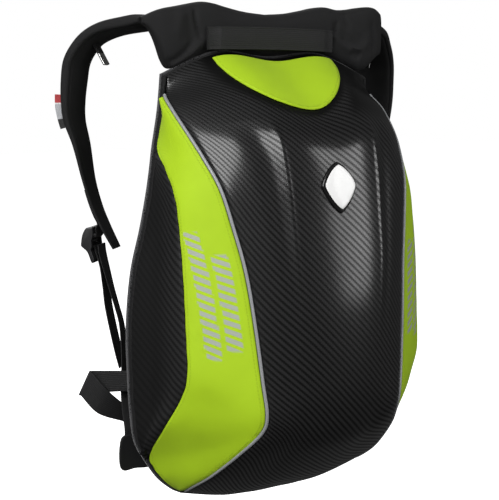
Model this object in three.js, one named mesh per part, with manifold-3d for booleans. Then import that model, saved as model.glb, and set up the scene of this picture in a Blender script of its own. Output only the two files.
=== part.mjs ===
// Hard shell backpack: a moulded carbon-weave shell with two bright side panels,
// soft gussets behind them, a bound back edge, a padded yoke with a haul handle,
// two padded shoulder straps and a webbing waist belt. Millimetres, +Z up, the
// shell faces -Y and the wearer stands at +Y. Inside the file, "depth" is measured
// forward from the bound back edge and "height" up from the foot of the shell.
import * as THREE from 'three';
import Module from 'manifold-3d';
import { mergeVertices } from 'three/addons/utils/BufferGeometryUtils.js';

const wasm = await Module();
wasm.setup();

// Driving dimensions of the body
const bodyWidth = 313;
const shellDepth = 154.5;
const bodyHeight = 456;
const shellWall = 4;
const panelWall = 3;
const seamGap = 0.3;
const pipingRadius = 1.6;
const grooveDepth = 3;

// Back edge, back panel and where the pack rests on its wearer
const bindingDepth = 11.2;
const bindingThickness = 3.2;
const bindingStep = 1;
const boardThickness = 4;
const padThickness = 10;
const padInset = 16;
const seatHeight = 228;

// Where the walls and the piping end, in sections down from the rim
const panelEnds = { top: 1.2, foot: 14.6 };
const gussetEnds = { top: 3.15, foot: 11.9 };
const pipingEnds = { top: 1.1, foot: 14.75 };

// Yoke, haul handle and badge
const yokeHalfWidth = 136;
const yokeDepth = 34;
const yokeRise = 50;
const lobeRise = 47;
const handleHalfLength = 73;
const handleHeight = 22;
const handleThickness = 3;
const handleBow = 8.5;
const handleLift = 3;
const topPanelTop = 0.2;
const topPanelLean = 0.05;
const topPanelThickness = 1.2;
const skinLift = 1.2;
const badgeSection = 5.25;
const badgeRoundness = 1.35;
const badgeLift = 0.6;
const badgeHalfWidth = 19;
const badgeHalfHeight = 24;
const badgeThickness = 2.2;
const badgeRimWidth = 2.4;

// Shoulder straps
const strapRootSide = 110;
const strapRootRise = 30;
const strapReach = 72;
const strapSweep = 66;
const strapDrop = 223;
const strapWidth = 56;
const strapThickness = 13;

// Webbing, and the ladder lock below each strap's tip
const webWidth = 20;
const webThickness = 1.6;
const lockWidth = 30;
const lockLength = 35;
const lockDepth = 12.5;
const lockRail = 3;
const lockRise = 22;
const lockOut = 73;
const windowShare = 0.43;
const barRadius = 1.8;
const tailLength = 143;
const tailSwing = 24;

// Foot tab that the loaded run is sewn to
const footTabInset = 7.5;
const footTabHeight = 44;
const footTabWidth = 34;
const footTabLength = 36;

// Waist belt
const waistRootInset = 10.5;
const waistRootBehind = 5;
const waistReach = 54;
const waistRise = 58;
const waistLevel = 85;
const waistBehind = 17;
const waistTurn = 30;
const waistBuckleWidth = 54;
const waistBuckleHeight = 34;
const waistBuckleThickness = 11;
const waistBuckleCorner = 5;

// Small tab and the chest strap's keeper
const tabWidth = 8;
const tabShift = 0.36;
const tabThickness = 1.2;
const keeperStation = 4.2;
const keeperWidth = 14;
const keeperThickness = 3;
const keeperLoop = 9.7;
const keeperRing = 11.7;

// The shell's sections from its top rim down to its foot. Each line is given in
// percent: side of the half width, depth of the shell depth, height of the body
// height. The edge is the piped line between shell and side panel, the ridge the
// crest of the raised centre band, the crown its middle, the band the side
// panel's back seam, and the back the bound edge.
const sections = [
  { edge: [75.5, 7.5, 95], ridge: [38, 7.5, 100], crown: [7.5, 99],
    band: [75.5, 7.5, 95], back: [75.5, 95] },
  { edge: [77.5, 9.5, 91.5], ridge: [38, 28, 96], crown: [32.5, 94.5],
    band: [76.5, 7.5, 91], back: [76.5, 91] },
  { edge: [78.5, 23.5, 88], ridge: [37, 49.5, 91], crown: [56, 89],
    band: [78, 7.5, 86.5], back: [78, 86.5] },
  { edge: [76, 40, 83], ridge: [35, 66, 86], crown: [71.5, 85],
    band: [82, 8.5, 80], back: [81.5, 79.5] },
  { edge: [72.5, 52, 78.5], ridge: [33.5, 76.5, 81.5], crown: [80.5, 81],
    band: [85.5, 26, 76], back: [83, 75.5] },
  { edge: [67.5, 64, 72.5], ridge: [32.5, 82.5, 74.5], crown: [86.5, 74.5],
    band: [86.5, 41, 70.5], back: [85.5, 70] },
  { edge: [62.5, 71, 64.5], ridge: [31.5, 87, 66.5], crown: [90.5, 66.5],
    band: [86.5, 47, 63.5], back: [90, 62.5] },
  { edge: [57.5, 77, 55.5], ridge: [30.5, 91.5, 57], crown: [95, 57],
    band: [86.5, 51.5, 54.5], back: [96.5, 53.5] },
  { edge: [54, 82, 44.5], ridge: [27, 95.5, 46], crown: [99, 46],
    band: [86.5, 54.5, 43.5], back: [100, 42.5] },
  { edge: [51, 85.5, 33.5], ridge: [24.5, 96.5, 34], crown: [100, 34],
    band: [86.5, 56, 34.5], back: [100, 32] },
  { edge: [49, 87, 27], ridge: [23.5, 94.5, 26.5], crown: [97.5, 26],
    band: [87.5, 49.5, 29], back: [99, 23.5] },
  { edge: [49.5, 83, 23], ridge: [23.5, 88, 20.5], crown: [90.5, 20],
    band: [91.5, 34, 21.5], back: [96.5, 16.5] },
  { edge: [55, 69.5, 18], ridge: [26, 72, 15], crown: [74, 14.5],
    band: [90, 8.5, 12.5], back: [90, 12] },
  { edge: [62.5, 43.5, 10.5], ridge: [29.5, 44.5, 7.5], crown: [46, 7],
    band: [81.5, 7.5, 7.5], back: [81.5, 7.5] },
  { edge: [66.5, 21, 5.5], ridge: [32, 21, 2.5], crown: [22.5, 2.5],
    band: [72.5, 7.5, 4.5], back: [72.5, 4.5] },
  { edge: [65, 7.5, 3], ridge: [33, 7.5, 0.5], crown: [7.5, 0],
    band: [65, 7.5, 3], back: [65, 3] },
];
const lastSection = sections.length - 1;
const wholeBody = { top: 0, foot: lastSection };
const rimDepth = shellDepth * 0.075;
const levelStep = 0.5;
const pipingSlot = pipingRadius + 2 * seamGap;
const bandLine = 1, edgeLine = 2, farEdgeLine = 6;

// What follows from the driving dimensions

const strapRootHeight = bodyHeight + strapRootRise;
const lockTop = strapRootHeight - strapDrop + lockRise;

// Half of the bright top panel's outline on the shell: steps across from the
// crown towards the ridge and sections down from the rim.
const topPanelOutline = [
  { across: 1.16, down: topPanelTop }, { across: 1.14, down: 0.6 }, { across: 1.07, down: 1.05 },
  { across: 0.96, down: 1.45 }, { across: 0.78, down: 1.83 }, { across: 0.52, down: 2.13 },
  { across: 0.26, down: 2.26 }, { across: 0, down: 2.29 },
];

// The yoke from its middle to its outer end, in percent: side of its half width,
// front and back of its depth behind the shell's rim, lift of its foot of the
// lobe's rise above the rim, top of its rise above the body.
const yokeSections = [
  { side: 0, front: 0, back: 100, lift: 0, top: 80 },
  { side: 18, front: 0, back: 100, lift: 0, top: 84 },
  { side: 34, front: 0, back: 100, lift: 0, top: 92 },
  { side: 44, front: 0, back: 100, lift: 0, top: 98 },
  { side: 54, front: 0, back: 100, lift: 0, top: 100 },
  { side: 66, front: 1, back: 100, lift: 0, top: 94 },
  { side: 73, front: 1, back: 98, lift: 0, top: 90 },
  { side: 79, front: 2, back: 90, lift: 2, top: 87 },
  { side: 84, front: 4, back: 74, lift: 22, top: 84 },
  { side: 88, front: 8, back: 62, lift: 50, top: 81 },
  { side: 92, front: 14, back: 56, lift: 76, top: 77 },
  { side: 96, front: 22, back: 54, lift: 94, top: 72 },
  { side: 100, front: 32, back: 56, lift: 103, top: 66 },
];

// The shoulder strap from its root in the yoke to its tip, in percent of its
// reach, sweep, drop, width and thickness; turn is its width's angle to X.
const strapStations = [
  { out: 0, back: 3, drop: 0, width: 96, thick: 108, turn: 8 },
  { out: 11, back: 24, drop: 0, width: 100, thick: 108, turn: 14 },
  { out: 29, back: 42, drop: 1, width: 100, thick: 104, turn: 25 },
  { out: 56, back: 61, drop: 3, width: 100, thick: 100, turn: 38 },
  { out: 75, back: 79, drop: 6.5, width: 100, thick: 100, turn: 46 },
  { out: 87, back: 89, drop: 11.5, width: 100, thick: 100, turn: 47 },
  { out: 95, back: 96, drop: 17.5, width: 99, thick: 100, turn: 47 },
  { out: 98, back: 99, drop: 25, width: 97, thick: 98, turn: 47 },
  { out: 100, back: 100, drop: 34, width: 92, thick: 84, turn: 47 },
  { out: 99, back: 99, drop: 43, width: 84, thick: 72, turn: 47 },
  { out: 92, back: 92, drop: 54, width: 71, thick: 54, turn: 47 },
  { out: 85, back: 85, drop: 69.5, width: 57, thick: 36, turn: 47 },
  { out: 77, back: 78, drop: 81, width: 50, thick: 34, turn: 47 },
  { out: 68, back: 69, drop: 90, width: 45, thick: 30, turn: 47 },
  { out: 56, back: 57, drop: 100, width: 37, thick: 22, turn: 47 },
];

// Where the small tab is sewn along the strap, and the webbing on its tip
const tabStations = [7.75, 8.5, 9.25];
const sewnStations = [11.6, 12, 12.4, 12.8];

// The ladder lock's side profile from its root, in percent of its depth outwards
// and of its length down
const lockProfile = [
  { out: 4, down: 0 }, { out: 32, down: 0 }, { out: 60, down: 4 }, { out: 88, down: 23 },
  { out: 100, down: 49 }, { out: 96, down: 56 }, { out: 48, down: 71 }, { out: 16, down: 100 },
  { out: -4, down: 100 }, { out: -8, down: 89 }, { out: 16, down: 66 }, { out: 8, down: 54 },
  { out: 12, down: 37 }, { out: 0, down: 26 }, { out: 0, down: 6 },
];
const lockBar = { out: 40, down: 41.5 };

// Webbing through the lock, in the same percents: the hook over its bar from
// above, and the adjuster's turn under and over the bar
const hookRoute = [
  { out: -13, down: 4 }, { out: -13, down: 26 }, { out: 12, down: 32.5 }, { out: 48, down: 32.5 },
];
const overBarRoute = [
  { out: 9.5, down: 56 }, { out: 40, down: 52.5 }, { out: 64, down: 45.5 }, { out: 59, down: 36 },
];

// The free tail from its cut end up to the lock, in percent of its swing inwards
// and of its length down
const tailRoute = [
  { inward: 100, down: 100 }, { inward: 79, down: 86.5 }, { inward: 44, down: 58.5 },
  { inward: 33, down: 42.5 }, { inward: 22.5, down: 28.5 }, { inward: 8, down: 19.5 },
];

// The loaded run from the lock to its end on the foot tab, in percent of the way
// between them: drop, side and back; turn is the webbing's angle to X.
const loadRunRoute = [
  { drop: 8, side: 84, back: 94.5, turn: 47 }, { drop: 12, side: 78.5, back: 92.5, turn: 47 },
  { drop: 19.5, side: 60, back: 86.5, turn: 50 }, { drop: 28, side: 37.5, back: 78.5, turn: 54 },
  { drop: 35.5, side: 15.5, back: 71, turn: 56 }, { drop: 44, side: -7, back: 63.5, turn: 54 },
  { drop: 59, side: -12, back: 51.5, turn: 44 }, { drop: 71.5, side: -6, back: 38, turn: 26 },
  { drop: 79, side: 0, back: 18, turn: 10 }, { drop: 86, side: 0, back: 3, turn: 0 },
  { drop: 89.5, side: 0, back: 0, turn: 0 }, { drop: 100, side: 0, back: 0, turn: 0 },
];

// Corners of the foot tab, in percent of its width from its middle and of its length
const footTabCorners = [
  { across: 29, up: 100 }, { across: 53, up: 5 }, { across: -3, up: 0 },
  { across: -47, up: 5 }, { across: -44, up: 89 }, { across: -3, up: 97 },
];

// The waist belt's folded loop: how far out its upper and lower edges stand in
// percent of its reach, how far behind its first run in percent of the webbing's
// thickness, and the edges' heights above the buckle in percent of its rise
const waistLoopRoute = [
  { outUpper: -13, outLower: -13, behind: 0, upper: 100, lower: 64 },
  { outUpper: 37, outLower: 41, behind: 0, upper: 100, lower: 63 },
  { outUpper: 80, outLower: 100, behind: 0, upper: 100, lower: 57 },
  { outUpper: 82.5, outLower: 103, behind: -100, upper: 100, lower: 57 },
  { outUpper: 80, outLower: 100, behind: -200, upper: 98, lower: 56 },
  { outUpper: 50, outLower: 70, behind: -200, upper: 66, lower: 26 },
  { outUpper: 20, outLower: 26, behind: 560, upper: 34.5, lower: 5 },
];

// The belt behind the pack: side in percent of the way from the buckle to the
// belt's root, behind in percent of the buckle's place, heights as above
const waistBackRoute = [
  { side: 93, behind: 141, upper: 24, lower: -10 },
  { side: 71, behind: 124, upper: 21, lower: -17 },
  { side: 0, behind: 100, upper: 19, lower: -19 },
];

const palette = {
  carbon: { color: 0x1b1b1d, roughness: 0.35, metalness: 0 },
  bright: { color: 0xa8d820, roughness: 0.7, metalness: 0 },
  gusset: { color: 0x202022, roughness: 0.6, metalness: 0 },
  reflective: { color: 0xa5a8aa, roughness: 0.45, metalness: 0 },
  cloth: { color: 0x161617, roughness: 0.9, metalness: 0 },
  webbing: { color: 0x141415, roughness: 0.85, metalness: 0 },
  acetal: { color: 0x1c1c1d, roughness: 0.4, metalness: 0 },
  badgeRim: { color: 0x101010, roughness: 0.25, metalness: 0 },
  badgeFace: { color: 0xe8e8e6, roughness: 0.3, metalness: 0 },
  tab: { color: 0x8c2a2c, roughness: 0.85, metalness: 0 },
  steel: { color: 0xc8c8c6, roughness: 0.25, metalness: 1 },
};

const vec = (x, y, z) => new THREE.Vector3(x, y, z);
const clamp01 = (value) => Math.min(1, Math.max(0, value));
const degrees = Math.PI / 180;

// Catmull-Rom blend of four neighbouring points
function blend(a, b, c, d, f) {
  const f2 = f * f, f3 = f2 * f;
  return vec(0, 0, 0)
    .addScaledVector(a, 0.5 * (-f + 2 * f2 - f3))
    .addScaledVector(b, 0.5 * (2 - 5 * f2 + 3 * f3))
    .addScaledVector(c, 0.5 * (f + 4 * f2 - 3 * f3))
    .addScaledVector(d, 0.5 * (-f2 + f3));
}

// Point on a smooth curve through the points, by running index
function alongPoints(points, t) {
  const last = points.length - 1;
  const i = Math.min(last - 1, Math.max(0, Math.floor(t)));
  const before = i > 0 ? points[i - 1] : points[0].clone().multiplyScalar(2).sub(points[1]);
  const after = i + 2 <= last ? points[i + 2] : points[last].clone().multiplyScalar(2).sub(points[last - 1]);
  return blend(before, points[i], points[i + 1], after, t - i);
}

const halfWidth = bodyWidth / 2;
const bodyLines = ['back', 'band', 'edge', 'ridge', 'crown'].map((name) => sections.map((row) => {
  const [side, depth, height] = name === 'crown' ? [0, ...row.crown]
    : name === 'back' ? [row.back[0], 7.5, row.back[1]] : row[name];
  return vec(-halfWidth * side / 100, -shellDepth * depth / 100, bodyHeight * height / 100);
}));
const crownLine = bodyLines.length - 1;
const mirrored = (p) => vec(-p.x, p.y, p.z);

// Lines run across the body from the left back edge (0) over the crown (4) to the
// right back edge (8)
function bodyLine(index, t) {
  if (index > crownLine) return mirrored(bodyLine(2 * crownLine - index, t));
  if (index < 0) return bodyLine(0, t).multiplyScalar(2).sub(bodyLine(1, t));
  return alongPoints(bodyLines[index], t);
}

// Two valleys run down outside the ridges of the centre band and fade out
function grooveAt(u, t) {
  const outward = Math.abs(u - crownLine) - 1;
  const width = 0.34 - 0.02 * t;
  const along = clamp01((t - 2.9) / 0.8) * clamp01((8.6 - t) / 3.5);
  return grooveDepth * along * Math.exp(-(((outward - width) / (0.62 * width)) ** 2));
}

// Nothing of the body reaches behind its rim
function beforeRim(point) {
  point.y = Math.min(point.y, -rimDepth);
  return point;
}

function smoothBody(u, t) {
  const i = Math.min(2 * crownLine - 1, Math.max(0, Math.floor(u)));
  const point = blend(bodyLine(i - 1, t), bodyLine(i, t), bodyLine(i + 1, t), bodyLine(i + 2, t), u - i);
  return beforeRim(point);
}

// Outward direction of the body, turned into the rim's plane near the back edge
function bodyNormal(u, t) {
  const h = 0.02;
  const across = smoothBody(Math.min(u + h, 8), t).sub(smoothBody(Math.max(u - h, 0), t));
  const down = smoothBody(u, Math.min(t + h, lastSection)).sub(smoothBody(u, Math.max(t - h, 0)));
  const normal = down.cross(across).normalize();
  const depth = -smoothBody(u, t).y;
  normal.y *= clamp01((depth - rimDepth) / 9);
  return normal.normalize();
}

function bodyPoint(u, t, lift = 0) {
  return smoothBody(u, t).addScaledVector(bodyNormal(u, t), lift - grooveAt(u, t));
}

// Share of one line step that a distance across the body takes
function acrossShare(u, t, distance) {
  const h = 0.04 * Math.sign(distance);
  return 0.04 * distance / Math.max(0.5, smoothBody(u + h, t).distanceTo(smoothBody(u, t)));
}

// A closed skin through rings of equal count; its ends are closed by strips
function loft(rings, closed = false) {
  const count = rings[0].length;
  const positions = rings.flat().flatMap((p) => [p.x, p.y, p.z]);
  const faces = [];
  const at = (ring, i) => (ring % rings.length) * count + (i % count);
  for (let r = 0; r < rings.length - (closed ? 0 : 1); r += 1) {
    for (let i = 0; i < count; i += 1) {
      faces.push([at(r, i), at(r, i + 1), at(r + 1, i + 1)], [at(r, i), at(r + 1, i + 1), at(r + 1, i)]);
    }
  }
  if (!closed) {
    for (let i = 0; i < count / 2 - 1; i += 1) {
      const a = i, b = i + 1, c = count - 2 - i, d = count - 1 - i;
      const end = rings.length - 1;
      faces.push([at(0, a), at(0, c), at(0, b)], [at(0, a), at(0, d), at(0, c)]);
      faces.push([at(end, a), at(end, b), at(end, c)], [at(end, a), at(end, c), at(end, d)]);
    }
  }
  return facing(positions, faces.filter(([a, b, c]) => a !== b && b !== c && a !== c));
}

// Turns a skin inside out where its faces point inwards
function facing(positions, faces) {
  const at = (i) => vec(positions[3 * i], positions[3 * i + 1], positions[3 * i + 2]);
  const volume = faces.reduce((sum, [a, b, c]) => sum + at(a).dot(at(b).cross(at(c))), 0);
  const geometry = new THREE.BufferGeometry();
  geometry.setAttribute('position', new THREE.Float32BufferAttribute(positions, 3));
  geometry.setIndex(faces.flatMap(([a, b, c]) => (volume > 0 ? [a, b, c] : [a, c, b])));
  return geometry;
}

const spread = (from, to, steps) => Array.from({ length: steps + 1 }, (_, i) => from + (to - from) * i / steps);

// A wall of the body between two lines: the ring at each section runs across the
// outer face and back across the inner one. Both walls of a seam go in along the
// seam line's own direction.
function bodyWall({ lines, margins, ends, across, wall }) {
  return loft(sectionLevels(ends).map((t) => {
    const [from, to] = lines.map((line, end) => line + (margins[end] ? acrossShare(line, t, margins[end]) : 0));
    const us = spread(from, to, across);
    const outer = us.map((u) => bodyPoint(u, t));
    const inner = us.map((u, i) => {
      const towards = i === 0 ? lines[0] : i === across ? lines[1] : u;
      return beforeRim(outer[i].clone().addScaledVector(bodyNormal(towards, t), -wall));
    });
    return [...outer, ...inner.reverse()];
  }));
}

// Levels shared by every wall and the piping, so that their facets match
function sectionLevels({ top, foot }) {
  const shared = spread(0, lastSection, lastSection / levelStep);
  return [top, ...shared.filter((t) => t > top + 0.1 && t < foot - 0.1), foot];
}

function shellGeometry() {
  return bodyWall({
    lines: [edgeLine, farEdgeLine], margins: [pipingSlot, -pipingSlot],
    ends: wholeBody, across: 16, wall: shellWall,
  });
}

function sidePanelGeometry() {
  return bodyWall({
    lines: [bandLine, edgeLine], margins: [seamGap, -pipingSlot],
    ends: panelEnds, across: 4, wall: panelWall,
  });
}

function gussetGeometry() {
  return bodyWall({
    lines: [0, bandLine], margins: [0, -seamGap],
    ends: gussetEnds, across: 4, wall: panelWall,
  });
}

function pipingGeometry() {
  const levels = sectionLevels(pipingEnds);
  const centres = levels.map((t) => bodyPoint(edgeLine, t, -pipingRadius / 2));
  const sides = 6;
  return loft(levels.map((t, i) => {
    const normal = bodyNormal(edgeLine, t);
    const tangent = centres[Math.min(i + 1, centres.length - 1)].clone()
      .sub(centres[Math.max(i - 1, 0)]).normalize();
    const across = tangent.clone().cross(normal).normalize();
    return Array.from({ length: sides }, (_, k) => {
      const angle = (k + 0.5) / sides * 2 * Math.PI;
      return centres[i].clone()
        .addScaledVector(across, pipingRadius * Math.cos(angle))
        .addScaledVector(normal, pipingRadius * Math.sin(angle));
    });
  }));
}

// A thin piece that lies on the shell: rings of its outline, from a point inside
// it out to its edge underneath and back over its top
function skinOnShell(outline, centre, lift, thickness) {
  const ringAt = (scale, height) => outline.map(([u, t]) => bodyPoint(
    centre[0] + (u - centre[0]) * scale, centre[1] + (t - centre[1]) * scale, height));
  const scales = [0.03, 0.25, 0.5, 0.75, 1];
  return loft([
    ...scales.map((scale) => ringAt(scale, lift)),
    ...scales.reverse().map((scale) => ringAt(scale, lift + thickness)),
  ]);
}

function topPanelGeometry() {
  const leaning = (across, down) => [crownLine + across - topPanelLean * down ** 2, down];
  const right = topPanelOutline.map(({ across, down }) => leaning(across, down));
  const left = topPanelOutline.slice(0, -1).map(({ across, down }) => leaning(-across, down)).reverse();
  const rim = spread(-0.95, 0.95, 8).map((across) => leaning(across, topPanelTop));
  return skinOnShell([...right, ...left, ...rim], [crownLine, 0.9], skinLift, topPanelThickness);
}

// The badge is a plain lozenge with rounded corners, laid on the crown
const badgeMiddle = [crownLine, badgeSection];

function badgeOutline(halfWide, halfTall) {
  const [u, t] = badgeMiddle;
  const wide = acrossShare(u, t, halfWide);
  const tall = halfTall / smoothBody(u, t + 0.5).distanceTo(smoothBody(u, t - 0.5));
  return spread(0, 1, 24).slice(0, -1).map((share) => {
    const angle = share * 2 * Math.PI;
    const reach = Math.abs(Math.cos(angle)) ** badgeRoundness + Math.abs(Math.sin(angle)) ** badgeRoundness;
    const shrink = reach ** (-1 / badgeRoundness);
    return [u + wide * shrink * Math.cos(angle), t + tall * shrink * Math.sin(angle)];
  });
}

function badgeBaseGeometry() {
  return skinOnShell(badgeOutline(badgeHalfWidth, badgeHalfHeight), badgeMiddle, badgeLift, badgeThickness);
}

function badgeFaceGeometry() {
  const outline = badgeOutline(badgeHalfWidth - badgeRimWidth, badgeHalfHeight - 1.5 * badgeRimWidth);
  return skinOnShell(outline, badgeMiddle, badgeLift + badgeThickness + seamGap, badgeThickness / 2);
}

// The rim's outline seen from the back, as a closed loop that starts at the crown
function rimLoop() {
  const levels = sectionLevels(wholeBody);
  const side = levels.map((t) => smoothBody(0, t));
  const foot = spread(2.25, 6, 15).map((u) => smoothBody(u, lastSection));
  const top = spread(2.25, 6, 15).map((u) => smoothBody(u, 0)).reverse();
  const loop = [...side, ...foot, ...side.map(mirrored).reverse().slice(1), ...top.slice(1, -1)];
  return loop;
}

const rimOutline = rimLoop();

// In-plane outward directions of the rim
const rimNormals = rimOutline.map((_, i) => {
  const next = rimOutline[(i + 1) % rimOutline.length];
  const before = rimOutline[(i - 1 + rimOutline.length) % rimOutline.length];
  const along = next.clone().sub(before);
  const normal = vec(along.z, 0, -along.x).normalize();
  const outward = rimOutline[i].clone().sub(vec(0, 0, bodyHeight / 2));
  return normal.dot(outward) > 0 ? normal : normal.negate();
});

const rimRing = (offset, depth) => rimOutline.map((p, i) => vec(p.x, -depth, p.z)
  .addScaledVector(rimNormals[i], offset));

function bindingGeometry() {
  const inner = bindingStep - bindingThickness;
  const corners = [[bindingStep, 0.8], [bindingStep, bindingDepth - 0.8], [bindingStep - 0.8, bindingDepth],
    [inner, bindingDepth], [inner, 0], [bindingStep - 0.8, 0]];
  const rings = corners.map(([offset, depth]) => rimRing(offset, depth));
  return loft(rimOutline.map((_, i) => rings.map((ring) => ring[i])), true);
}

// Board inside the binding with a padded face that ends in a flat middle
function backPanelGeometry() {
  const edge = bindingStep - bindingThickness - seamGap;
  const board = bindingDepth / 2;
  const levels = [
    [edge, board], [edge, board - boardThickness], [-padInset, board - boardThickness],
    [-padInset - 2, -0.6 * padThickness], [-padInset - 7, -padThickness],
  ];
  const rings = levels.map(([offset, depth]) => rimRing(offset, depth));
  const count = rimOutline.length;
  const positions = rings.flat().flatMap((p) => [p.x, p.y, p.z]);
  const faces = [];
  for (let r = 0; r < rings.length - 1; r += 1) {
    for (let i = 0; i < count; i += 1) {
      const a = r * count + i, b = r * count + (i + 1) % count;
      faces.push([a, b, b + count], [a, b + count, a + count]);
    }
  }
  const front = positions.length / 3, back = front + 1, last = (rings.length - 1) * count;
  positions.push(0, -board, bodyHeight / 2, 0, padThickness, bodyHeight / 2);
  for (let i = 0; i < count; i += 1) {
    faces.push([front, (i + 1) % count, i], [back, last + i, last + (i + 1) % count]);
  }
  return facing(positions, faces);
}

// Height of the shell's rim at a distance from the middle
const rimTop = spread(farEdgeLine / 2 + 1, farEdgeLine, 24).map((u) => smoothBody(u, 0));

function rimHeight(side) {
  const next = rimTop.findIndex((p) => p.x >= side);
  if (next < 1) return next === 0 ? rimTop[0].z : rimTop[rimTop.length - 1].z;
  const a = rimTop[next - 1], b = rimTop[next];
  return a.z + (b.z - a.z) * (side - a.x) / (b.x - a.x);
}

// A section of the yoke: a rounded oval that stands on the bound rim
function yokeRing({ side, front, back, lift, top }, hand, grow) {
  const frontDepth = rimDepth - yokeDepth * front / 100 + grow;
  const backDepth = rimDepth - yokeDepth * back / 100 - grow;
  const rim = rimHeight(yokeHalfWidth * side / 100);
  const footHeight = rim + bindingStep + 2 * seamGap + lobeRise * lift / 100 - grow;
  const topHeight = bodyHeight + yokeRise * top / 100 + grow;
  const middleDepth = (frontDepth + backDepth) / 2, middleHeight = (footHeight + topHeight) / 2;
  const count = 14, power = 0.62;
  return Array.from({ length: count }, (_, i) => {
    const angle = (i + 0.5) / count * 2 * Math.PI;
    const c = Math.sign(Math.cos(angle)) * Math.abs(Math.cos(angle)) ** power;
    const s = Math.sign(Math.sin(angle)) * Math.abs(Math.sin(angle)) ** power;
    return vec(hand * (yokeHalfWidth + grow) * side / 100,
      -(middleDepth + c * (frontDepth - backDepth) / 2), middleHeight + s * (topHeight - footHeight) / 2);
  });
}

function yokeGeometry(grow = 0) {
  const right = yokeSections.map((row) => yokeRing(row, 1, grow));
  const left = yokeSections.slice(1).map((row) => yokeRing(row, -1, grow)).reverse();
  return loft([...left, ...right]);
}

// The haul handle is a flat band that lies on the yoke at its ends and bows
// forward between them
function handleGeometry() {
  const middleHeight = bodyHeight + handleLift + handleHeight / 2;
  return loft(spread(-1, 1, 16).map((share) => {
    const bow = handleBow * (1 - share ** 4) * clamp01((1 - Math.abs(share)) * 6);
    const near = rimDepth + seamGap + bow, far = near + handleThickness;
    const x = handleHalfLength * share, half = handleHeight / 2;
    return [[near, -half], [near, half], [far, half - 0.8], [far, 0.8 - half]]
      .map(([depth, rise]) => vec(x, -depth, middleHeight + rise));
  }));
}

// Frame of the left strap at a running station: its middle, its width direction
// and its outward direction
function strapFrame(t) {
  const points = strapStations.map(({ out, back, drop }) => vec(
    -strapRootSide - strapReach * out / 100, strapSweep * back / 100, strapRootHeight - strapDrop * drop / 100));
  const shape = strapStations.map(({ width, thick, turn }) => vec(width / 100, thick / 100, turn));
  const middle = alongPoints(points, t);
  const ahead = alongPoints(points, Math.min(t + 0.05, points.length - 1));
  const behind = alongPoints(points, Math.max(t - 0.05, 0));
  const { x: width, y: thick, z: turn } = alongPoints(shape, t);
  const wide = vec(Math.cos(turn * degrees), Math.sin(turn * degrees), 0);
  const face = ahead.sub(behind).cross(wide).normalize().negate();
  const across = wide.clone().addScaledVector(face, -wide.dot(face)).normalize();
  return { middle, across, face, width: width * strapWidth, thick: thick * strapThickness };
}

function strapRings() {
  const count = 12;
  return spread(0, strapStations.length - 1, 24).map((t) => {
    const { middle, across, face, width, thick } = strapFrame(t);
    return Array.from({ length: count }, (_, i) => {
      const angle = (i + 0.5) / count * 2 * Math.PI;
      const c = Math.sign(Math.cos(angle)) * Math.abs(Math.cos(angle)) ** 0.5;
      const s = Math.sign(Math.sin(angle)) * Math.abs(Math.sin(angle)) ** 0.6;
      return middle.clone().addScaledVector(across, c * width / 2).addScaledVector(face, s * thick / 2);
    });
  });
}

// A closed skin as a solid for cutting, and back
function solidOf(geometry) {
  const bare = geometry.index ? geometry.toNonIndexed() : geometry.clone();
  bare.deleteAttribute('normal');
  bare.deleteAttribute('uv');
  const merged = mergeVertices(bare, 1e-4);
  return new wasm.Manifold(new wasm.Mesh({
    numProp: 3, vertProperties: merged.attributes.position.array, triVerts: merged.index.array,
  }));
}

function geometryOf(solid) {
  const mesh = solid.getMesh();
  const geometry = new THREE.BufferGeometry();
  geometry.setAttribute('position', new THREE.BufferAttribute(new Float32Array(mesh.vertProperties), 3));
  geometry.setIndex(Array.from(mesh.triVerts));
  return geometry;
}

// The strap starts where it leaves the yoke
function strapGeometry() {
  return geometryOf(solidOf(loft(strapRings())).subtract(solidOf(yokeGeometry(3 * seamGap))));
}

// A flat webbing band between two edge lines
function ribbon(edges, thickness) {
  return loft(edges.map(([upper, lower], i) => {
    const middle = ([a, b]) => a.clone().add(b).multiplyScalar(0.5);
    const ahead = middle(edges[Math.min(i + 1, edges.length - 1)]);
    const behind = middle(edges[Math.max(i - 1, 0)]);
    const face = ahead.sub(behind).cross(lower.clone().sub(upper)).normalize();
    const raised = (p, sign) => p.clone().addScaledVector(face, sign * thickness / 2);
    return [raised(upper, 1), raised(lower, 1), raised(lower, -1), raised(upper, -1)];
  }));
}

// Points of the adjuster stand in the strap's lower plane: outward from the
// strap's root and up
const planeTurn = 47 * degrees;
const planeOut = vec(-Math.sin(planeTurn), Math.cos(planeTurn), 0);
const planeWide = vec(Math.cos(planeTurn), Math.sin(planeTurn), 0);
const planePoint = (out, height) => vec(-strapRootSide - 2, 0, height).addScaledVector(planeOut, out);

// Edge pairs of webbing whose middles are given, each turned about the vertical
function webEdges(middles, turns) {
  return middles.map((middle, i) => {
    const wide = vec(Math.cos(turns[i]), Math.sin(turns[i]), 0).multiplyScalar(webWidth / 2);
    return [middle.clone().add(wide), middle.clone().sub(wide)];
  });
}

const lockPoint = ({ out, down }) => planePoint(
  lockOut + lockDepth * out / 100, lockTop - lockLength * down / 100);
const inPlane = (middles) => webEdges(middles, middles.map(() => planeTurn));

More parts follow.
